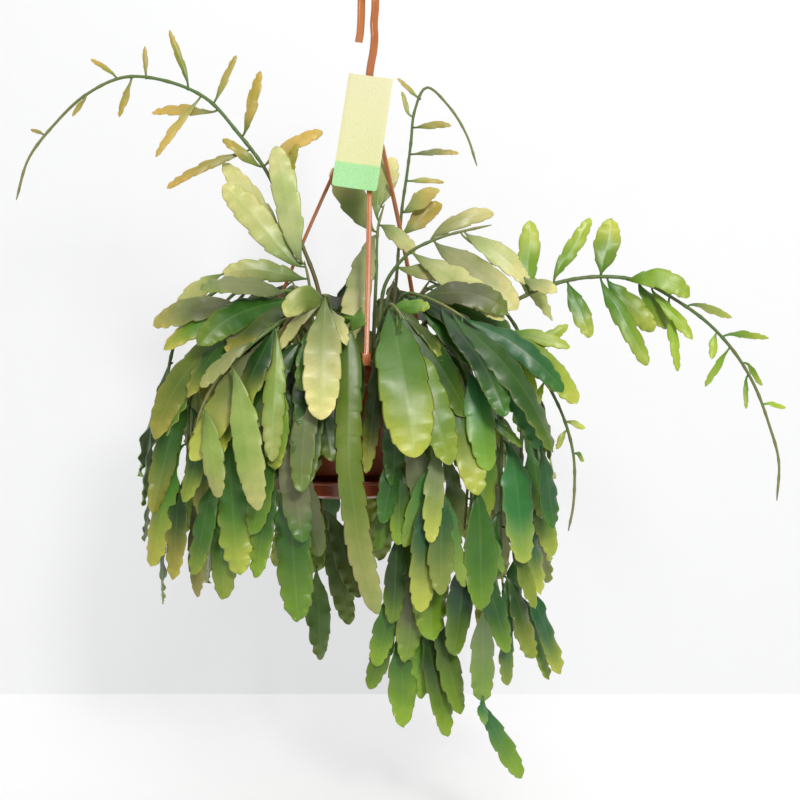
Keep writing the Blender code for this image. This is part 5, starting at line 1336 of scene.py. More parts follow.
def fine_blade(piece, curves, shape, tones, rng):
    """One leaf: a closed skin with a raised rib, and a small step at each of its notches."""
    outline, width, facing, turn = shape
    line, run = along_curves(curves)
    length = run[-1]
    lobe, phases = lobes_along(length, width, rng.uniform(0, 1))
    notches = find_notches(phases)
    marks = ring_marks(length, notches)
    spots = np.column_stack([np.interp(marks * length, run, line[:, i]) for i in range(3)])
    ahead, sides, outs = leaf_axes(spots, marks, length, facing, turn)
    half = width / 2 * breadth_along(outline, marks)
    half = np.where(marks < 0.3, np.maximum(half, LEAF_EDGE), half)
    depth = (min(NOTCH_DEEP, NOTCH_OF_WIDTH * width) / (width / 2) * rng.uniform(0.8, 1.15)
             * smooth_step(marks, 0.1, 0.25))
    phase = np.interp(marks, FINE, phases)
    lobe_here = lobe / np.interp(marks, FINE, np.gradient(phases, FINE) * lobe / length)
    left = half * (1 - depth * (1 - lobe_edge(np.mod(phase, 1), lobe_here)))
    right = half * (1 - depth * (1 - lobe_edge(np.mod(phase + 0.5, 1), lobe_here)))
    u = RING_ACROSS[None, :]
    reach = np.where(u < 0, left[:, None], right[:, None]) * u
    out = skin_relief(marks, phase, half, width, rng)
    points = (spots[:, None, :] + sides[:, None, :] * reach[:, :, None]
              + outs[:, None, :] * out[:, :, None])
    size = len(RING_ACROSS)
    # The leaf's colour, darkened by painted shade when it lies close round the pot
    tint = blade_tint(marks[:, None], u, tones, rng) * painted_shade_near_pot(spots[len(marks) // 2])
    piece.add(points.reshape(-1, 3), ring_faces(len(marks), size), 0, tint.reshape(-1, 3),
              np.broadcast_to(u, (len(marks), size)).ravel(), np.repeat(marks * length, size))
    for side_sign, edge, corner in ((-1, left, 0), (1, right, len(ACROSS) - 1)):
        for notch in notches[side_sign]:
            ring = int(np.argmin(np.abs(marks - notch)))
            if half[ring] > AREOLE_FROM:
                side = sides[ring] * side_sign
                middle = spots[ring] + side * edge[ring] + outs[ring] * out[ring, corner]
                add_areole(piece, middle, side, ahead[ring], outs[ring] * side_sign)


# Painted shade on leaves close round the pot: how far from the plumb line it reaches, and the shares of their
# tint left there
SHADED_WITHIN = (8.5 * CM, 12.5 * CM)       # from the plumb line
SHADES = (0.45, 1.08)


def painted_shade_near_pot(middle):
    """Painted shade: leaves close round the pot, beside it, are darkened, the more the nearer they lie to the
    plumb line.
    """
    deep = np.interp(math.hypot(middle[0], middle[1]), SHADED_WITHIN, SHADES)
    below = smooth_step(middle[2], RIM_Z + 3 * CM, RIM_Z)
    beside = smooth_step(middle[2], POT_FLOOR_Z - 9 * CM, POT_FLOOR_Z - 2 * CM)
    return 1 - below * beside * (1 - deep)


PALE_TONE = 0.5                             # the sum of red, green and blue from which a leaf is pale
PALE_SHADES = (0.75, 0.9, 1.0, 1.1)
GREEN_SHADES = (0.35, 0.55, 0.75, 0.95, 1.15)
MAUVE_LEAVES = 0.12                         # of all
# How far painted shade darkens a leaf at its root, where the other leaves hide it
ROOT_PAINTED_SHADE = 0.6
BACK_PALE = 0.25


def blade_tint(marks, u, tones, rng):
    """The leaf's painted colour: between its stem's two, yellower to the tip and along the edge."""
    first, second, tip, reach = tones
    body_share = rng.uniform(0, 1)
    body = np.array(first) * (1 - body_share) + np.array(second) * body_share
    body = body * rng.choice(PALE_SHADES if sum(first) > PALE_TONE else GREEN_SHADES)
    if rng.random() < MAUVE_LEAVES:
        body = body * 0.4 + np.array(MAUVE) * 0.6
    tip = np.array(tip) * rng.uniform(0.85, 1.1)
    reach = reach * rng.uniform(0.9, 1.8)
    tip_share = smooth_step(marks + 0.12 * np.abs(u) ** 2, 1 - reach, 1.1) * rng.uniform(0.4, 1.0)
    share = np.clip(tip_share, 0, 1)[:, :, None]
    tint = body * (1 - share) + tip * share
    # Painted shade: the leaf darkens towards its root, where the crown hides it
    root = ROOT_PAINTED_SHADE * smooth_step(marks, 0.38, 0.0)[:, :, None]
    tint = tint * (1 - root) + np.array(DARK) * root
    back = (RING_SIDE[None, :, None] < 0) * BACK_PALE
    return tint * (1 - back) + np.array(SAGE) * back


AREOLE_FACES = [(0, 2, 4), (2, 1, 4), (1, 3, 4), (3, 0, 4), (2, 0, 5), (1, 2, 5), (3, 1, 5), (0, 3, 5)]
AREOLE_HALF = 0.45 * MM


def add_areole(piece, middle, side, ahead, face):
    """The small woolly cushion in a notch."""
    points = [middle + ahead * 0.7 * MM, middle - ahead * 0.6 * MM,
              middle + face * AREOLE_HALF, middle - face * AREOLE_HALF,
              middle + side * AREOLE_HALF, middle - side * 0.8 * MM]
    piece.add(points, AREOLE_FACES, 2)


STEM_SIDES = 10
SCARS_APART = 15 * MM
SCAR = 0.28 * MM


def fine_stem(piece, shoot, rng):
    """The round stem: smooth, with small scars, browner towards the soil."""
    length = sum((b - a).length for a, b in zip(shoot.route, shoot.route[1:]))
    count = max(16, round(length / (4 * MM)))
    route = smooth_route(shoot.route, count)
    shares = np.linspace(0, 1, count)
    radii = np.interp(shares * (len(shoot.radii) - 1), range(len(shoot.radii)), shoot.radii)
    scars = (np.sin(shares * length / SCARS_APART * math.tau + rng.uniform(0, 6)) > 0.86) * SCAR
    radii = radii + scars + 0.05 * MM * np.sin(shares * length / (7 * MM))
    radii[-3:] *= (0.9, 0.7, 0.35)
    points, faces = round_bar(route, radii.tolist(), STEM_SIDES)
    share = np.repeat(smooth_step(shares, 0.05, 0.5), STEM_SIDES)[:, None]
    tint = np.array(STEM_BROWN) * (1 - share) + np.array(STEM_GREEN) * share * rng.uniform(0.85, 1.15)
    young = 0.6 * np.repeat(smooth_step(shares, 0.6, 1.0), STEM_SIDES)[:, None]
    tint = tint * (1 - young) + np.array(STEM_TIP) * young
    piece.add([tuple(p) for p in points], faces, 1, tint)


# Leaves are a little broader than their solids
BROADER = 1.1

# Of these stems' leaves in turn: how much broader than its solid each is, and how far it is
# brought forwards, so that the broadest leaf hangs in front of the others
OWN_BROADER = {"front_right_fan": [1.42, 1.2, 1.0, 1.0, 1.0, 0.8], "front_strap": [1.0]}
FORWARDS = {"front_right_fan": [9 * MM, 0, 0, 0, 0, -9 * MM]}


def brought_forward(curve, amount):
    base, shoulder, knee, tip = curve
    step = Vector((0, -amount, 0))
    return base, shoulder + step, knee + step * 1.3, tip + step


def dress_plant(shoots):
    paints = [leaf_paint(), stem_paint(), areole_paint()]
    for number, shoot in enumerate(shoots):
        rng = random.Random(f"{shoot.name} {SEED}")
        tones = TONES.get(shoot.name) or OTHER_TONES[number % len(OTHER_TONES)]
        piece = Piece(f"{shoot.name}_leaves", paints)
        fine_stem(piece, shoot, rng)
        leaves = [([curve], shape, tones) for curve, shape in shoot.fine]
        if shoot.name == "front_strap":
            strap_shape = (STRAP_OUTLINE, *shoot.fine[0][1][1:])
            leaves = [([curve for curve, _ in shoot.fine], strap_shape, tones)]
        for i, amount in enumerate(FORWARDS.get(shoot.name, [])):
            leaves[i] = ([brought_forward(shoot.fine[i][0], amount)], *leaves[i][1:])
        leaves += shoot.more
        broader = OWN_BROADER.get(shoot.name, []) + [BROADER] * len(leaves)
        for (curves, (outline, width, facing, turn), own_tones), factor in zip(leaves, broader):
            fine_blade(piece, curves, (outline, width * factor, facing, turn), own_tones, rng)
        dress(piece.make(), shoot.name)


# Pot, saucer and hanger

ROUND_STEPS = 120               # sides of the pot and the saucer
SMALL_STEPS = 24                # sides of the middle of its floor and the drain holes
CORNER_STEPS = 3


def rounded(outline, radius):
    """A closed outline with its corners rounded off."""
    found = []
    count = len(outline)
    for i, corner in enumerate(outline):
        corner = np.array(corner, float)
        before = np.array(outline[i - 1], float) - corner
        after = np.array(outline[(i + 1) % count], float) - corner
        near = min(radius, np.linalg.norm(before) * 0.45, np.linalg.norm(after) * 0.45)
        a, b = corner + unit(before) * near, corner + unit(after) * near
        for step in range(CORNER_STEPS + 1):
            t = step / CORNER_STEPS
            found.append(a * (1 - t) ** 2 + 2 * corner * t * (1 - t) + b * t * t)
    return found


def spin(piece, outline, centre_x, steps=ROUND_STEPS):
    """A round body from a closed (r, z) outline that runs up its outside."""
    outline = np.array(outline)
    angles = np.arange(steps) * math.tau / steps
    size = len(outline)
    points = np.zeros((steps, size, 3))
    points[:, :, 0] = centre_x + outline[None, :, 0] * np.cos(angles)[:, None]
    points[:, :, 1] = outline[None, :, 0] * np.sin(angles)[:, None]
    points[:, :, 2] = outline[None, :, 1]
    faces = []
    for step in range(steps):
        here, there = step * size, (step + 1) % steps * size
        for i in range(size):
            j = (i + 1) % size
            faces.append((here + i, there + i, there + j, here + j))
    piece.add(points.reshape(-1, 3), faces)


def fine_bar(piece, route, across, width, thick, groove):
    """A bar with rounded edges and a shallow groove along both faces."""
    forward = directions(route)
    section = [(-1, 0), (-0.98, 0.6), (-0.84, 0.95), (-0.6, 1), (-0.34, 1 - groove), (0.34, 1 - groove),
               (0.6, 1), (0.84, 0.95), (0.98, 0.6), (1, 0)]
    section = section + [(s, -f) for s, f in section[-2:0:-1]]
    points = []
    for spot, ahead in zip(route, forward):
        side = (across - ahead * across.dot(ahead)).normalized()
        face = side.cross(ahead)
        for s, f in section:
            points.append(spot + side * s * width / 2 + face * f * thick / 2)
    piece.add([tuple(p) for p in points], ring_faces(len(route), len(section)))


# A plate's layers: where each lies across it, and how far its edge is drawn in, of the bevel
LAYERS = ((-0.5, 0.6), (-0.46, 0.15), (-0.38, 0), (0.38, 0), (0.46, 0.15), (0.5, 0.6))


def plate(piece, outline, out, width, bevel):
    """An (r, z) outline from the pot's axis in the upright plane along out, with rounded edges."""
    out = np.array(out)
    side = np.array((out[1], -out[0], 0))
    ring = np.array(rounded(outline, bevel))
    middle = ring.mean(axis=0)
    reach = np.maximum(np.linalg.norm(ring - middle, axis=1, keepdims=True), 1e-9)
    layers = []
    for across, shrink in LAYERS:
        moved = ring - (ring - middle) / reach * np.minimum(shrink * bevel, reach * 0.5)
        layer = np.array((POT_OFF_PLUMB, 0, 0)) + out * moved[:, :1] + side * across * width
        layer[:, 2] = moved[:, 1]
        layers.append(layer)
    piece.add(np.concatenate(layers), ring_faces(len(layers), len(ring)))


AXIS = 0.01 * MM                # the least radius of a spun outline


def dress_pot(plastic):
    floor_top = POT_FLOOR_Z + WALL
    foot_z = POT_FLOOR_Z - FOOT_DROP
    outline = [
        (FOOT_RADIUS - WALL, POT_FLOOR_Z), (FOOT_RADIUS - WALL, foot_z), (FOOT_RADIUS + BEAD, foot_z),
        (FOOT_RADIUS + BEAD, foot_z + 2 * MM), (FOOT_RADIUS, foot_z + 3 * MM), (FOOT_RADIUS, POT_FLOOR_Z),
        (FLOOR_RADIUS, POT_FLOOR_Z), (BODY_RADIUS, BODY_TOP_Z),
        (BAND_RADIUS - BAND_TAPER, BAND_LOW_Z), (BAND_RADIUS, RIM_Z - FLANGE_THICK),
        (RIM_RADIUS, RIM_Z - FLANGE_THICK), (RIM_RADIUS, RIM_Z), (BAND_RADIUS - WALL, RIM_Z),
        (BODY_RADIUS - WALL, BODY_TOP_Z), (FLOOR_RADIUS - WALL, floor_top),
        (4 * MM, floor_top), (4 * MM, POT_FLOOR_Z),
    ]
    piece = Piece("pot_shell", [plastic])
    spin(piece, rounded(outline, 0.8 * MM), POT_OFF_PLUMB)
    disc = [(AXIS, POT_FLOOR_Z), (4.2 * MM, POT_FLOOR_Z), (4.2 * MM, floor_top), (AXIS, floor_top)]
    spin(piece, disc, POT_OFF_PLUMB, SMALL_STEPS)
    made = piece.make()
    mark_edges(made)
    cut(made, drain_holes())
    dress(made, "pot")


def drain_holes():
    """The four round bars that cut the drain holes."""
    cutter = Piece("holes", [])
    angles = np.arange(SMALL_STEPS) * math.tau / SMALL_STEPS
    for turn in (0, math.pi / 2, math.pi, 3 * math.pi / 2):
        x = POT_OFF_PLUMB + DRAINS_FROM_MIDDLE * math.cos(turn)
        y = DRAINS_FROM_MIDDLE * math.sin(turn)
        ring = np.column_stack([x + DRAIN_RADIUS * np.cos(angles), y + DRAIN_RADIUS * np.sin(angles)])
        heights = (POT_FLOOR_Z - 4 * MM, POT_FLOOR_Z + 8 * MM)
        cutter.add([(px, py, z) for z in heights for px, py in ring], ring_faces(2, SMALL_STEPS))
    return cutter


POSTS = 3                       # that clip the saucer on


def dress_saucer(plastic):
    floor_top = POT_FLOOR_Z - FOOT_DROP - GAP
    floor_low = floor_top - WALL
    top = floor_low + SAUCER_DEPTH
    inside = SAUCER_RADIUS - WALL
    outline = [
        (AXIS, floor_low), (SAUCER_RADIUS - 7 * MM, floor_low),
        (SAUCER_RADIUS - 1 * MM, floor_low + 3 * MM), (SAUCER_RADIUS, top - 3 * MM),
        (SAUCER_RADIUS + SAUCER_LIP, top - 2.4 * MM), (SAUCER_RADIUS + SAUCER_LIP, top), (inside, top),
        (inside - 1 * MM, floor_top + 3 * MM), (SAUCER_RADIUS - 8 * MM, floor_top),
        (30 * MM, floor_top), (29 * MM, floor_top + 0.5 * MM), (26 * MM, floor_top + 0.5 * MM),
        (25 * MM, floor_top), (AXIS, floor_top),
    ]
    piece = Piece("saucer_dish", [plastic])
    spin(piece, rounded(outline, 0.7 * MM), POT_OFF_PLUMB)
    inner = FOOT_RADIUS + BEAD + GAP
    outer = inner + POST_THICK
    hook_r = FOOT_RADIUS + GAP
    under_z = floor_top + 3.6 * MM
    post = [(inner, floor_top - WALL / 2), (outer, floor_top - WALL / 2), (outer, floor_top + 8 * MM),
            (hook_r, under_z + 0.4 * MM), (hook_r, under_z), (inner, under_z - 0.2 * MM)]
    for step in range(POSTS):
        angle = math.tau * (step + 0.5) / POSTS
        plate(piece, post, (math.cos(angle), math.sin(angle), 0), POST_WIDTH, 0.4 * MM)
    made = piece.make()
    mark_edges(made)
    dress(made, "saucer")


def hook_route():
    """The hook's middle line in its own plane: distance from the plumb line, and height."""
    arc_r = HOOK_RADIUS + HOOK_THICK / 2

    def on_arc(degrees):
        angle = math.radians(degrees)
        return arc_r * math.cos(angle), arc_r * math.sin(angle) - HOOK_RADIUS

    shank = [(0, -HUB_BELOW_HOOK), (0, -95 * MM), (1 * MM, -82 * MM), (4 * MM, -70 * MM),
             (8.5 * MM, -58 * MM), (10.5 * MM, -46 * MM), (9.5 * MM, -34 * MM), (11.5 * MM, -22 * MM)]
    ends = CROWN_HALF + 1 * MM
    crown = [(q, HOOK_THICK / 2) for q in (ends, CROWN_HALF, -CROWN_HALF, -ends)]
    point = [(-arc_r - 0.5 * MM, -24 * MM), (-arc_r - 2 * MM, -37 * MM), (-arc_r - 5 * MM, -46 * MM)]
    rising = [on_arc(degrees) for degrees in (0, 22, 44, 66)]
    falling = [on_arc(degrees) for degrees in (114, 136, 158, 180)]
    return shank + rising + crown + falling + point


def hook_plane():
    return Vector((math.sin(HOOK_TURN), -math.cos(HOOK_TURN), 0))


def strap_directions():
    """The level directions of the front, right and left straps from the plumb line."""
    found = []
    for step in (0, 1, -1):
        angle = FRONT_STRAP_ANGLE + step * math.tau / 3
        found.append(Vector((math.sin(angle), -math.cos(angle), 0)))
    return found


def strap_line(out):
    """Where a strap runs: from its seat in the hub, bowed outwards, to the rim's edge."""
    seat = out * (HUB_RADIUS + 1 * MM - NOTCH_DEPTH + STRAP_THICK / 2 + GAP)
    head = seat + Vector((0, 0, -HUB_BELOW_HOOK + 3 * MM))
    below = seat + out * 0.4 * MM + Vector((0, 0, -HUB_BELOW_HOOK - 6 * MM))
    end = Vector((POT_OFF_PLUMB, 0, 0)) + out * (RIM_RADIUS + GAP + STRAP_THICK / 2)
    end.z = RIM_Z + 3 * MM
    span = end - below
    bowed = below + span * 0.62 + out * STRAP_BOW
    return [head, below, below + span * 0.2 + out * 0.4 * STRAP_BOW, bowed, end]


CRISP_OVER = 50                 # degrees between a hanger's faces


def dress_hook(plastic):
    out = hook_plane()
    across = Vector((out.y, -out.x, 0))
    route = smooth_route([out * q + Vector((0, 0, z)) for q, z in hook_route()], 150)
    piece = Piece("hook_bar", [plastic])
    fine_bar(piece, route, across, HOOK_WIDTH, HOOK_THICK, 0.16)
    hub = cut_hub(plastic)
    points = [tuple(v.co) for v in hub.data.vertices]
    piece.add(points, [tuple(p.vertices) for p in hub.data.polygons])
    bpy.data.objects.remove(hub, do_unlink=True)
    made = piece.make()
    mark_edges(made, CRISP_OVER)
    dress(made, "hook")


def cut_hub(plastic):
    """The disc under the hook, with a seat cut into it for each strap."""
    low = -HUB_BELOW_HOOK - HUB_THICK + 1 * MM
    top = low + HUB_THICK
    boss_top = top + 1.2 * MM
    outline = [(AXIS, low), (HUB_RADIUS, low), (HUB_RADIUS, top), (7 * MM, top), (5.6 * MM, boss_top),
               (AXIS, boss_top)]
    hub = Piece("hub", [plastic])
    spin(hub, rounded(outline, 0.6 * MM), 0, 64)
    disc = hub.make()
    seats = Piece("seats", [])
    for out in strap_directions():
        side = np.array((-out.y, out.x, 0))
        away = np.array(out)
        points = []
        for z in (low - 2 * MM, top + 4 * MM):
            for a, b in ((-1, -1), (1, -1), (1, 1), (-1, 1)):
                spot = (away * (HUB_RADIUS + 1 * MM + a * NOTCH_DEPTH)
                        + side * b * (STRAP_WIDTH / 2 + GAP))
                points.append((spot[0], spot[1], z))
        seats.add(points, ring_faces(2, 4))
    cut(disc, seats)
    return disc


HEAD_THICK = 2.5 * MM           # of a strap's broad end, on the hub


def dress_strap(name, out, plastic):
    side = Vector((-out.y, out.x, 0))
    line = strap_line(out)
    piece = Piece(f"{name}_band", [plastic])
    fine_bar(piece, smooth_route(line, 90), side, STRAP_WIDTH, STRAP_THICK, 0.22)
    add_head(piece, line[0], out)
    outer = RIM_RADIUS + GAP
    inner = RIM_RADIUS - GRIP_REACH
    back = outer + 1.5 * GRIP_THICK
    top = RIM_Z + 6 * MM
    above = RIM_Z + GAP
    under = RIM_Z - FLANGE_THICK - GAP
    outline = [
        (outer, top), (outer, above + GRIP_THICK), (inner, above + 0.75 * GRIP_THICK), (inner, above),
        (outer, above), (outer, under), (inner, under), (inner, under - GRIP_THICK),
        (back, under - GRIP_THICK), (back, top),
    ]
    centre = Vector((POT_OFF_PLUMB, 0, 0))
    ring = [centre + out * r - side * GRIP_WIDTH / 2 + Vector((0, 0, z)) for r, z in outline]
    add_slab(piece, ring, side * GRIP_WIDTH, 0.3 * MM)
    made = piece.make()
    mark_edges(made, CRISP_OVER)
    dress(made, name)


def add_head(piece, seat, out):
    """The strap's broad end, which rests on the hub."""
    low = HUB_TOP_Z + GAP
    top = low + HEAD_THICK
    r = math.hypot(seat.x, seat.y)
    deep = STRAP_THICK / 2 + 0.8 * MM
    head = Piece("head", [])
    plate(head, [(r - deep, low), (r + deep, low), (r + deep, top), (r - deep, top)],
          tuple(out), STRAP_WIDTH + 4 * MM, 0.5 * MM)
    points = np.concatenate(head.points) - np.array((POT_OFF_PLUMB, 0, 0))
    piece.add(points, head.faces)


# The label

CARD_CORNER = 3 * MM
CARD_ROWS = [0, 0.3, 0.8, 1.5, 2.2, 3.0, *np.linspace(5, 105, 41), 107, 107.8, 108.5, 109.2, 109.7, 110]
CARD_COLUMNS = np.linspace(-1, 1, 17)
CARD_CURL = 0.9 * MM            # of its long edges
CARD_BOW = 0.8 * MM
EDGE_THIN = 0.25                # the card's edge, of its thickness
CARD_CRISP_OVER = 60            # degrees between its faces


def dress_label():
    """A card with rounded corners and a little curl, folded back and forked round the hook."""
    down = Vector((-math.sin(LABEL_LEAN), -math.sin(LABEL_TILT), -math.cos(LABEL_TILT))).normalized()
    side = Vector((math.cos(LABEL_LEAN), 0, -math.sin(LABEL_LEAN)))
    side = (side - down * side.dot(down)).normalized()
    front = down.cross(side)
    fold = Vector((2.5 * MM, -HOOK_THICK / 2 - 5.5 * MM, -LABEL_BELOW_HOOK))
    piece = Piece("label_card", [card_paint()])
    points = []
    along = []
    for depth in (-0.5, 0.5):
        for row, column in product(CARD_ROWS, CARD_COLUMNS):
            s = row * MM
            left = LABEL_LENGTH - s
            trim = CARD_CORNER - math.sqrt(max(0, CARD_CORNER ** 2 - max(0, CARD_CORNER - left) ** 2))
            x = column * (LABEL_WIDTH / 2 - trim)
            share = s / LABEL_LENGTH
            curl = CARD_CURL * column ** 2 * share - CARD_BOW * math.sin(math.pi * share)
            inner = EDGE_THIN if abs(column) == 1 or row == CARD_ROWS[-1] else 1
            thick = LABEL_THICK * (0.5 + depth * inner)
            points.append(fold + down * s + side * x + front * (curl - thick))
            along.append(share)
    piece.add([tuple(p) for p in points], card_faces(), along=np.array(along))
    add_flap(piece, fold - front * LABEL_THICK / 2, side)
    made = piece.make()
    mark_edges(made, CARD_CRISP_OVER)
    dress(made, "label")


def card_faces():
    """The card's two faces and the rim between them."""
    across, lines = len(CARD_COLUMNS), len(CARD_ROWS)
    layer = across * lines
    faces = []
    for i in range(lines - 1):
        for j in range(across - 1):
            a = i * across + j
            faces.append((a, a + across, a + across + 1, a + 1))
            faces.append((layer + a, layer + a + 1, layer + a + across + 1, layer + a + across))
    rim = ([(0, j) for j in range(across)] + [(i, across - 1) for i in range(1, lines)]
           + [(lines - 1, j) for j in range(across - 2, -1, -1)] + [(i, 0) for i in range(lines - 2, 0, -1)])
    ring = [i * across + j for i, j in rim]
    for a, b in zip(ring, ring[1:] + ring[:1]):
        faces.append((a, b, layer + b, layer + a))
    return faces


SLOT_HALF = 4.8 * MM            # of the fork's gap


def add_flap(piece, start, side):
    """The folded top of the card, with a fork round the hook's bar."""
    back = Vector((0, 1, 0))
    up = side.cross(back)
    half = 0.31 * LABEL_WIDTH
    bar = hook_plane() * 1.4 * MM + Vector((0, 0, -LABEL_BELOW_HOOK))
    middle = (bar - start).dot(side)
    slot_from = bar.y - start.y - 4 * MM
    outline = [(-half, 0), (half, 0), (half, FLAP_LENGTH), (middle + SLOT_HALF, FLAP_LENGTH),
               (middle + SLOT_HALF, slot_from), (middle - SLOT_HALF, slot_from),
               (middle - SLOT_HALF, FLAP_LENGTH), (-half, FLAP_LENGTH)]
    ring = [start + side * x + back * y for x, y in rounded(outline, 1.2 * MM)]
    add_slab(piece, ring, -up * LABEL_THICK)


# Soil

BED_RADIUS = BAND_RADIUS - WALL - GAP - 1.6 * MM
BED_RINGS = 44
BED_SPOKES = 150
BED_DEPTH = 9 * MM
BED_SUNK = 0.6 * MM             # of its surface, below the top of the solid
WAVES = 26                      # that make its surface uneven
WAVE_HEIGHT = 0.32              # mm
CRUMB_HEIGHT = 0.35             # mm
CHIPS = 520
CHIP_SUNK = 0.2 * MM
BARK_SHARE = 0.75               # of the chips; the others are pumice

# Of each kind of chip: the number of its material, its least and greatest size in mm, and
# how thick it is for its breadth
BARK_CHIP = (1, (1.2, 4.2), 0.4)
PUMICE_CHIP = (2, (0.8, 1.8), 0.85)


def on_bed(radius, angle):
    return radius * math.cos(angle), radius * math.sin(angle)


def bed_waves(rng):
    """Each wave's rate, turn, phase and size."""
    return [(rng.uniform(60, 420), rng.uniform(0, math.tau), rng.uniform(0, math.tau), rng.uniform(0.3, 1.0))
            for _ in range(WAVES)]


def lump(waves, x, y):
    """How far the bed stands out at a spot."""
    height = 0
    for rate, turn, phase, size in waves:
        height += size * math.sin(rate * (x * math.cos(turn) + y * math.sin(turn)) + phase)
    return height * WAVE_HEIGHT * MM


def dress_soil(rng):
    """A crumbly surface inside the pot, with chips of bark and grains of pumice on it."""
    paints = [soil_paint("peat", *PEAT), soil_paint("bark", *BARK), soil_paint("pumice", *PUMICE)]
    piece = Piece("soil_bed", paints)
    waves = bed_waves(rng)
    add_bed(piece, waves, rng)
    for _ in range(CHIPS):
        x, y = on_bed((BED_RADIUS - 4 * MM) * math.sqrt(rng.uniform(0, 1)), rng.uniform(0, math.tau))
        kind, sizes, flatness = BARK_CHIP if rng.random() < BARK_SHARE else PUMICE_CHIP
        size = rng.uniform(*sizes) * MM
        middle = (POT_OFF_PLUMB + x, y, SOIL_Z + lump(waves, x, y) - CHIP_SUNK)
        add_chip(piece, middle, size, flatness, kind, rng)
    dress(piece.make(smooth=False), "soil")


def add_bed(piece, waves, rng):
    """The bed's surface, in rings round its middle, with its side and its floor."""
    points = [(POT_OFF_PLUMB, 0, SOIL_Z)]
    for ring, spoke in product(range(1, BED_RINGS + 1), range(BED_SPOKES)):
        x, y = on_bed(BED_RADIUS * ring / BED_RINGS, math.tau * spoke / BED_SPOKES)
        z = SOIL_Z + lump(waves, x, y) - BED_SUNK + rng.uniform(-CRUMB_HEIGHT, CRUMB_HEIGHT) * MM
        points.append((POT_OFF_PLUMB + x, y, z))
    for spoke in range(BED_SPOKES):
        x, y = on_bed(BED_RADIUS - 2 * MM, math.tau * spoke / BED_SPOKES)
        points.append((POT_OFF_PLUMB + x, y, SOIL_Z - BED_DEPTH))
    faces = [(0, 1 + s, 1 + (s + 1) % BED_SPOKES) for s in range(BED_SPOKES)]
    for ring, s in product(range(BED_RINGS), range(BED_SPOKES)):
        t = (s + 1) % BED_SPOKES
        a = 1 + ring * BED_SPOKES
        faces.append((a + s, a + BED_SPOKES + s, a + BED_SPOKES + t, a + t))
    last = 1 + BED_RINGS * BED_SPOKES
    faces.append(tuple(last + s for s in reversed(range(BED_SPOKES))))
    piece.add(points, faces)


CHIP_SIDES = 5
CHIP_FACES = [(0, 1, 2), (0, 2, 3), (0, 3, 4), (0, 4, 5), (0, 5, 1),
              (6, 2, 1), (6, 3, 2), (6, 4, 3), (6, 5, 4), (6, 1, 5)]


def add_chip(piece, middle, size, flatness, kind, rng):
    """A flat crumb with five corners, leant and turned at random."""
    turn = rng.uniform(0, math.tau)
    long = rng.uniform(1, 1.8)
    points = [(0, 0, flatness * rng.uniform(0.7, 1))]
    for i in range(CHIP_SIDES):
        angle = math.tau * i / CHIP_SIDES + rng.uniform(-0.3, 0.3)
        reach = rng.uniform(0.7, 1.1)
        points.append((long * reach * math.cos(angle), reach * math.sin(angle), rng.uniform(-0.2, 0.2)))
    points.append((0, 0, -flatness))
    lean = rng.uniform(-0.5, 0.5)
    found = []
    for x, y, z in points:
        x, z = x * math.cos(lean) - z * math.sin(lean), x * math.sin(lean) + z * math.cos(lean)
        x, y = x * math.cos(turn) - y * math.sin(turn), x * math.sin(turn) + y * math.cos(turn)
        found.append((middle[0] + x * size / 2, middle[1] + y * size / 2, middle[2] + z * size / 2))
    piece.add(found, CHIP_FACES, kind)


# Stage and lights

FLOOR_Z = -0.77
FLOOR_REACH = 6                 # to each side
WALL_Y = 0.37
WALL_REACH = 4
WALL_TOP = 3
LIT_POINT = (0, 0, -0.38)
ROOM_LIGHT = 0.3


def make_stage():
    floor = [(FLOOR_REACH * x, FLOOR_REACH * y, FLOOR_Z) for x, y in ((-1, -1), (1, -1), (1, 1), (-1, 1))]
    wall = [(-WALL_REACH, WALL_Y, FLOOR_Z), (WALL_REACH, WALL_Y, FLOOR_Z),
            (WALL_REACH, WALL_Y, WALL_TOP), (-WALL_REACH, WALL_Y, WALL_TOP)]
    floor_paint = stage_paint("pale_floor", (0.45, 0.45, 0.455), 0.28, 60)
    for name, corners, paint in (("floor", floor, floor_paint), ("wall", wall, wall_paint())):
        mesh = bpy.data.meshes.new(name)
        mesh.from_pydata(corners, [], [(0, 1, 2, 3)])
        mesh.materials.append(paint)
        made = bpy.data.objects.new(name, mesh)
        bpy.context.scene.collection.objects.link(made)


def wall_paint():
    """White paint in front. The back lets light and views through, so that it hides nothing."""
    material = stage_paint("white_wall", (0.42, 0.425, 0.435), 0.6, 300)
    tree = material.node_tree
    geometry = tree.nodes.new("ShaderNodeNewGeometry")
    clear = tree.nodes.new("ShaderNodeBsdfTransparent")
    mixed = tree.nodes.new("ShaderNodeMixShader")
    tree.links.new(geometry.outputs["Backfacing"], mixed.inputs[0])
    tree.links.new(tree.nodes["Principled BSDF"].outputs[0], mixed.inputs[1])
    tree.links.new(clear.outputs[0], mixed.inputs[2])
    tree.links.new(mixed.outputs[0], tree.nodes["Material Output"].inputs["Surface"])
    return material


def make_light(name, place_at, size, energy, tone=(1, 1, 1)):
    """A soft square light, aimed at the middle of the plant."""
    data = bpy.data.lights.new(name, "AREA")
    data.size = size
    data.energy = energy
    data.color = tone
    lamp = bpy.data.objects.new(name, data)
    lamp.location = place_at
    lamp.rotation_euler = (Vector(LIT_POINT) - Vector(place_at)).to_track_quat("-Z", "Y").to_euler()
    bpy.context.scene.collection.objects.link(lamp)


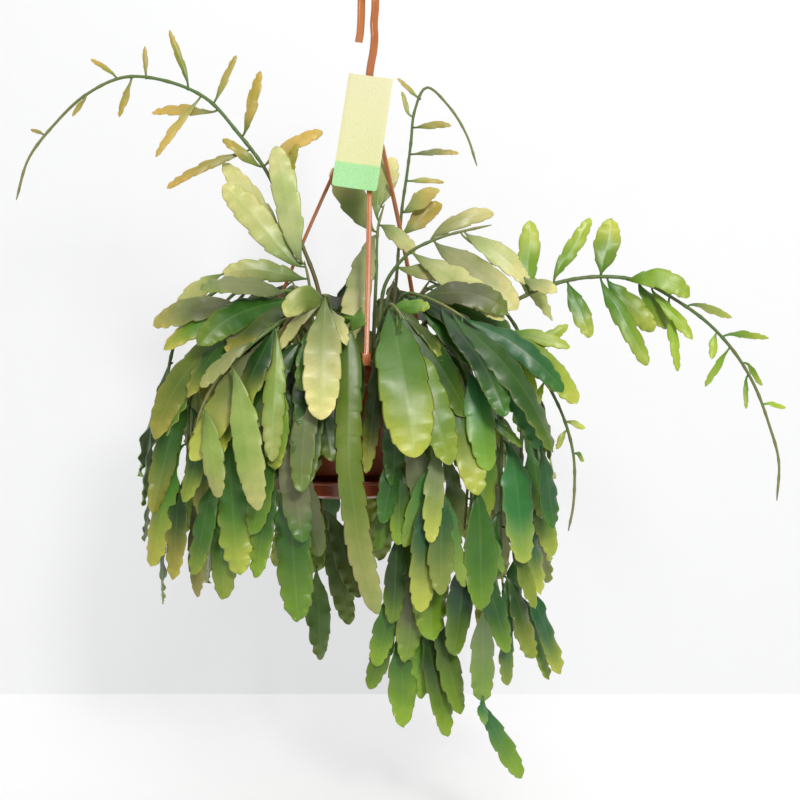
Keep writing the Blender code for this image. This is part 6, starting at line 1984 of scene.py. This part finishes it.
def make_lights():
    make_light("key", (0.5, -1.6, 0.45), size=0.3, energy=19, tone=(1, 0.985, 0.95))
    make_light("soft", (0.3, -1.8, 1.3), size=1.1, energy=18, tone=(1, 0.99, 0.97))
    make_light("fill", (-1.6, -1.2, 0.2), size=1.4, energy=2.5, tone=(0.97, 0.99, 1))
    make_light("top", (0.1, -0.2, 1.5), size=1.2, energy=7)
    world = bpy.data.worlds.new("studio")
    world.use_nodes = True
    background = world.node_tree.nodes["Background"]
    background.inputs["Color"].default_value = (0.99, 0.99, 1, 1)
    background.inputs["Strength"].default_value = ROOM_LIGHT
    bpy.context.scene.world = world


# Leaves that only this model has: they fill the front of the pot. Each has its blade, and its
# colours like the stems' own.
GLOOM = (DARK, DARK, GRASS, 0.3)
SHADE = (DARK, GRASS, OLIVE, 0.3)
MORE_LEAVES = {
    "front_left_cover": [
        (Blade((-5.0, 1.4), (-4.0, 11.8, -6.2), 2.9, 1.2, 25), GLOOM),
        (Blade((-5.4, 0.6), (-6.4, 11.4, -9.6), 2.4, 0.8, -15), SHADE),
        (Blade((-5.3, 0.8), (-3.4, 10.6, -11.4), 1.8, 0.6, 10), (DARK, DARK, GRASS, 0.2)),
        (Blade((-4.6, 1.8), (-8.4, 10.8, -2.0), 2.6, 1.6, -25), (DARK, GRASS, GRASS, 0.3)),
    ],
    "front_left_inner": [
        (Blade((-7.0, -1.4), (-7.6, 11.6, -9.0), 2.2, 0.6, -20), (GRASS, OLIVE, YELLOW, 0.3)),
        (Blade((-7.1, -5.0), (-6.2, 11.8, -15.0), 2.3, 0.4, 20), GLOOM),
        (Blade((-6.9, -8.0), (-4.2, 10.6, -16.8), 2.2, 0.4, 10), SHADE),
        (Blade((-6.6, 0.9), (-9.8, 9.8, -6.4), 2.8, 1.2, 10), GLOOM),
        (Blade((-6.9, 0.2), (-8.6, 10.4, -4.2), 2.2, 0.8, 35), SHADE),
        (Blade((-7.1, -3.0), (-8.9, 9.2, -10.6), 2.6, 0.5, 10), GLOOM),
    ],
    "centre_right_hanging": [
        (Blade((2.8, -1.4), (2.2, 11.2, -10.4), 1.9, 0.5, 10), GLOOM),
        (Blade((2.9, -5.8), (4.6, 11.0, -14.0), 2.2, 0.4, -10), SHADE),
        (Blade((2.9, -6.4), (1.8, 10.8, -13.8), 1.8, 0.4, 15), GLOOM),
        (Blade((2.0, 1.2), (4.6, 10.4, -4.2), 2.4, 1.0, 20), GLOOM),
    ],
    "front_left_fan": [
        (Blade((-3.2, 5.2), (-7.2, 10.2, -0.4), 1.6, 2.0, 60), (ROSE, ROSE, OLIVE, 0.5)),
        (Blade((-3.1, 4.2), (-5.2, 10.2, -2.4), 2.2, 1.6, 30), SHADE),
    ],
    "front_strap": [
        (Blade((-1.5, 3.0), (-6.8, 9.8, 3.6), 2.6, 3.0, -35), GLOOM),
        (Blade((-1.4, 2.4), (-3.4, 10.2, 3.4), 2.2, 2.0, 20), SHADE),
        (Blade((-1.3, 1.8), (0.8, 10.2, -3.6), 1.8, 1.2, 15), GLOOM),
    ],
    "left_arch_shoot": [
        (Blade((-6.3, 5.7), (-15.4, 8.0, -3.4), 3.2, 3.8, 10), (GRASS, OLIVE, STRAW, 0.3)),
        (Blade((-6.3, 5.7), (-13.0, 9.4, -1.0), 2.4, 2.6, 20), SHADE),
        (Blade((-7.4, 5.7), (-12.4, 8.6, 2.6), 2.1, 1.6, -20), (GRASS, SAGE, OLIVE, 0.3)),
        (Blade((-6.3, 5.2), (-10.4, 9.0, -2.6), 2.6, 1.8, 10), GLOOM),
        (Blade((-5.8, 5.6), (-10.8, 11.2, 0.6), 3.0, 2.2, -10), (GRASS, OLIVE, STRAW, 0.3)),
    ],
    "front_right_fan": [
        (Blade((1.0, 2.4), (2.2, 11.0, -5.0), 2.2, 1.4, -15), GLOOM),
        (Blade((2.4, 4.6), (8.4, 10.4, -4.6), 2.8, 1.6, 15), (OLIVE, GRASS, OLIVE, 0.3)),
    ],
    "right_dark_strap": [
        (Blade((3.4, 5.5), (10.6, 9.2, 0.2), 2.4, 2.8, 20), GLOOM),
        (Blade((3.4, 5.5), (12.8, 7.4, 0.4), 2.6, 3.6, 0), SHADE),
        (Blade((4.6, 5.6), (11.0, 5.8, 1.6), 2.4, 2.6, 0), (DARK, MAUVE, OLIVE, 0.3)),
        (Blade((4.4, 5.6), (9.4, 8.6, -2.8), 2.8, 1.6, 10), GLOOM),
        (Blade((7.4, 4.4), (16.4, 9.6, -7.6), 2.6, 3.6, 10), SHADE),
    ],
    "right_inner_long": [
        (Blade((3.6, 3.0), (8.2, 9.6, -3.6), 2.8, 1.2, -10), SHADE),
    ],
    "left_pale_shoot": [
        (Blade((-7.6, 4.0), (-12.6, 9.8, -8.6), 2.6, 1.4, 10), (GRASS, OLIVE, YELLOW, 0.4)),
        (Blade((-8.0, 3.4), (-10.4, 10.8, -4.6), 2.2, 1.2, -20), (DARK, GRASS, YELLOW, 0.3)),
    ],
    "left_hanging": [
        (Blade((-11.0, -2.0), (-12.6, 8.6, -11.8), 2.4, 0.5, 10), (DARK, GRASS, YELLOW, 0.35)),
        (Blade((-11.0, 1.0), (-14.8, 7.4, -8.4), 2.4, 0.8, 10), (DARK, OLIVE, STRAW, 0.35)),
    ],
    "left_front_hanging": [
        (Blade((-9.0, 1.6), (-11.2, 9.6, -7.4), 2.4, 1.2, 10), GLOOM),
    ],
}


def add_leaves(shoots, garden):
    for shoot in shoots:
        own = Garden()
        own.placed = [entry for entry in garden.placed if entry[0] == shoot.name]
        known = len(shoot.fine)
        shoot.more = []
        for blade, tones in MORE_LEAVES.get(shoot.name, []):
            if shoot.fit_blade(garden, own, shoot.route, blade, True):
                curve, shape = shoot.fine[-1]
                shoot.more.append(([curve], shape, tones))
        shoot.fine = shoot.fine[:known]


# Everything together

STRAPS = ("strap_front", "strap_right", "strap_left")


def main():
    holder = [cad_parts[name] for name in ("pot", "saucer", "hook", *STRAPS, "label")]
    shoots, garden = grow_plant(holder)
    missing = sorted(set(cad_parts) - {s.name for s in shoots} - {h.name for h in holder} - {"soil"})
    if missing:
        raise ValueError(f"these nodes didn't grow: {missing}")
    add_leaves(shoots, garden)
    dress_plant(shoots)
    terracotta = plastic_paint("terracotta_plastic", *TERRACOTTA, roughness=0.3)
    copper = plastic_paint("hanger_plastic", *COPPER, roughness=0.26)
    dress_pot(terracotta)
    dress_saucer(terracotta)
    dress_hook(copper)
    for name, out in zip(STRAPS, strap_directions()):
        dress_strap(name, out, copper)
    dress_label()
    dress_soil(random.Random(SEED + 1))
    make_stage()
    make_lights()


main()
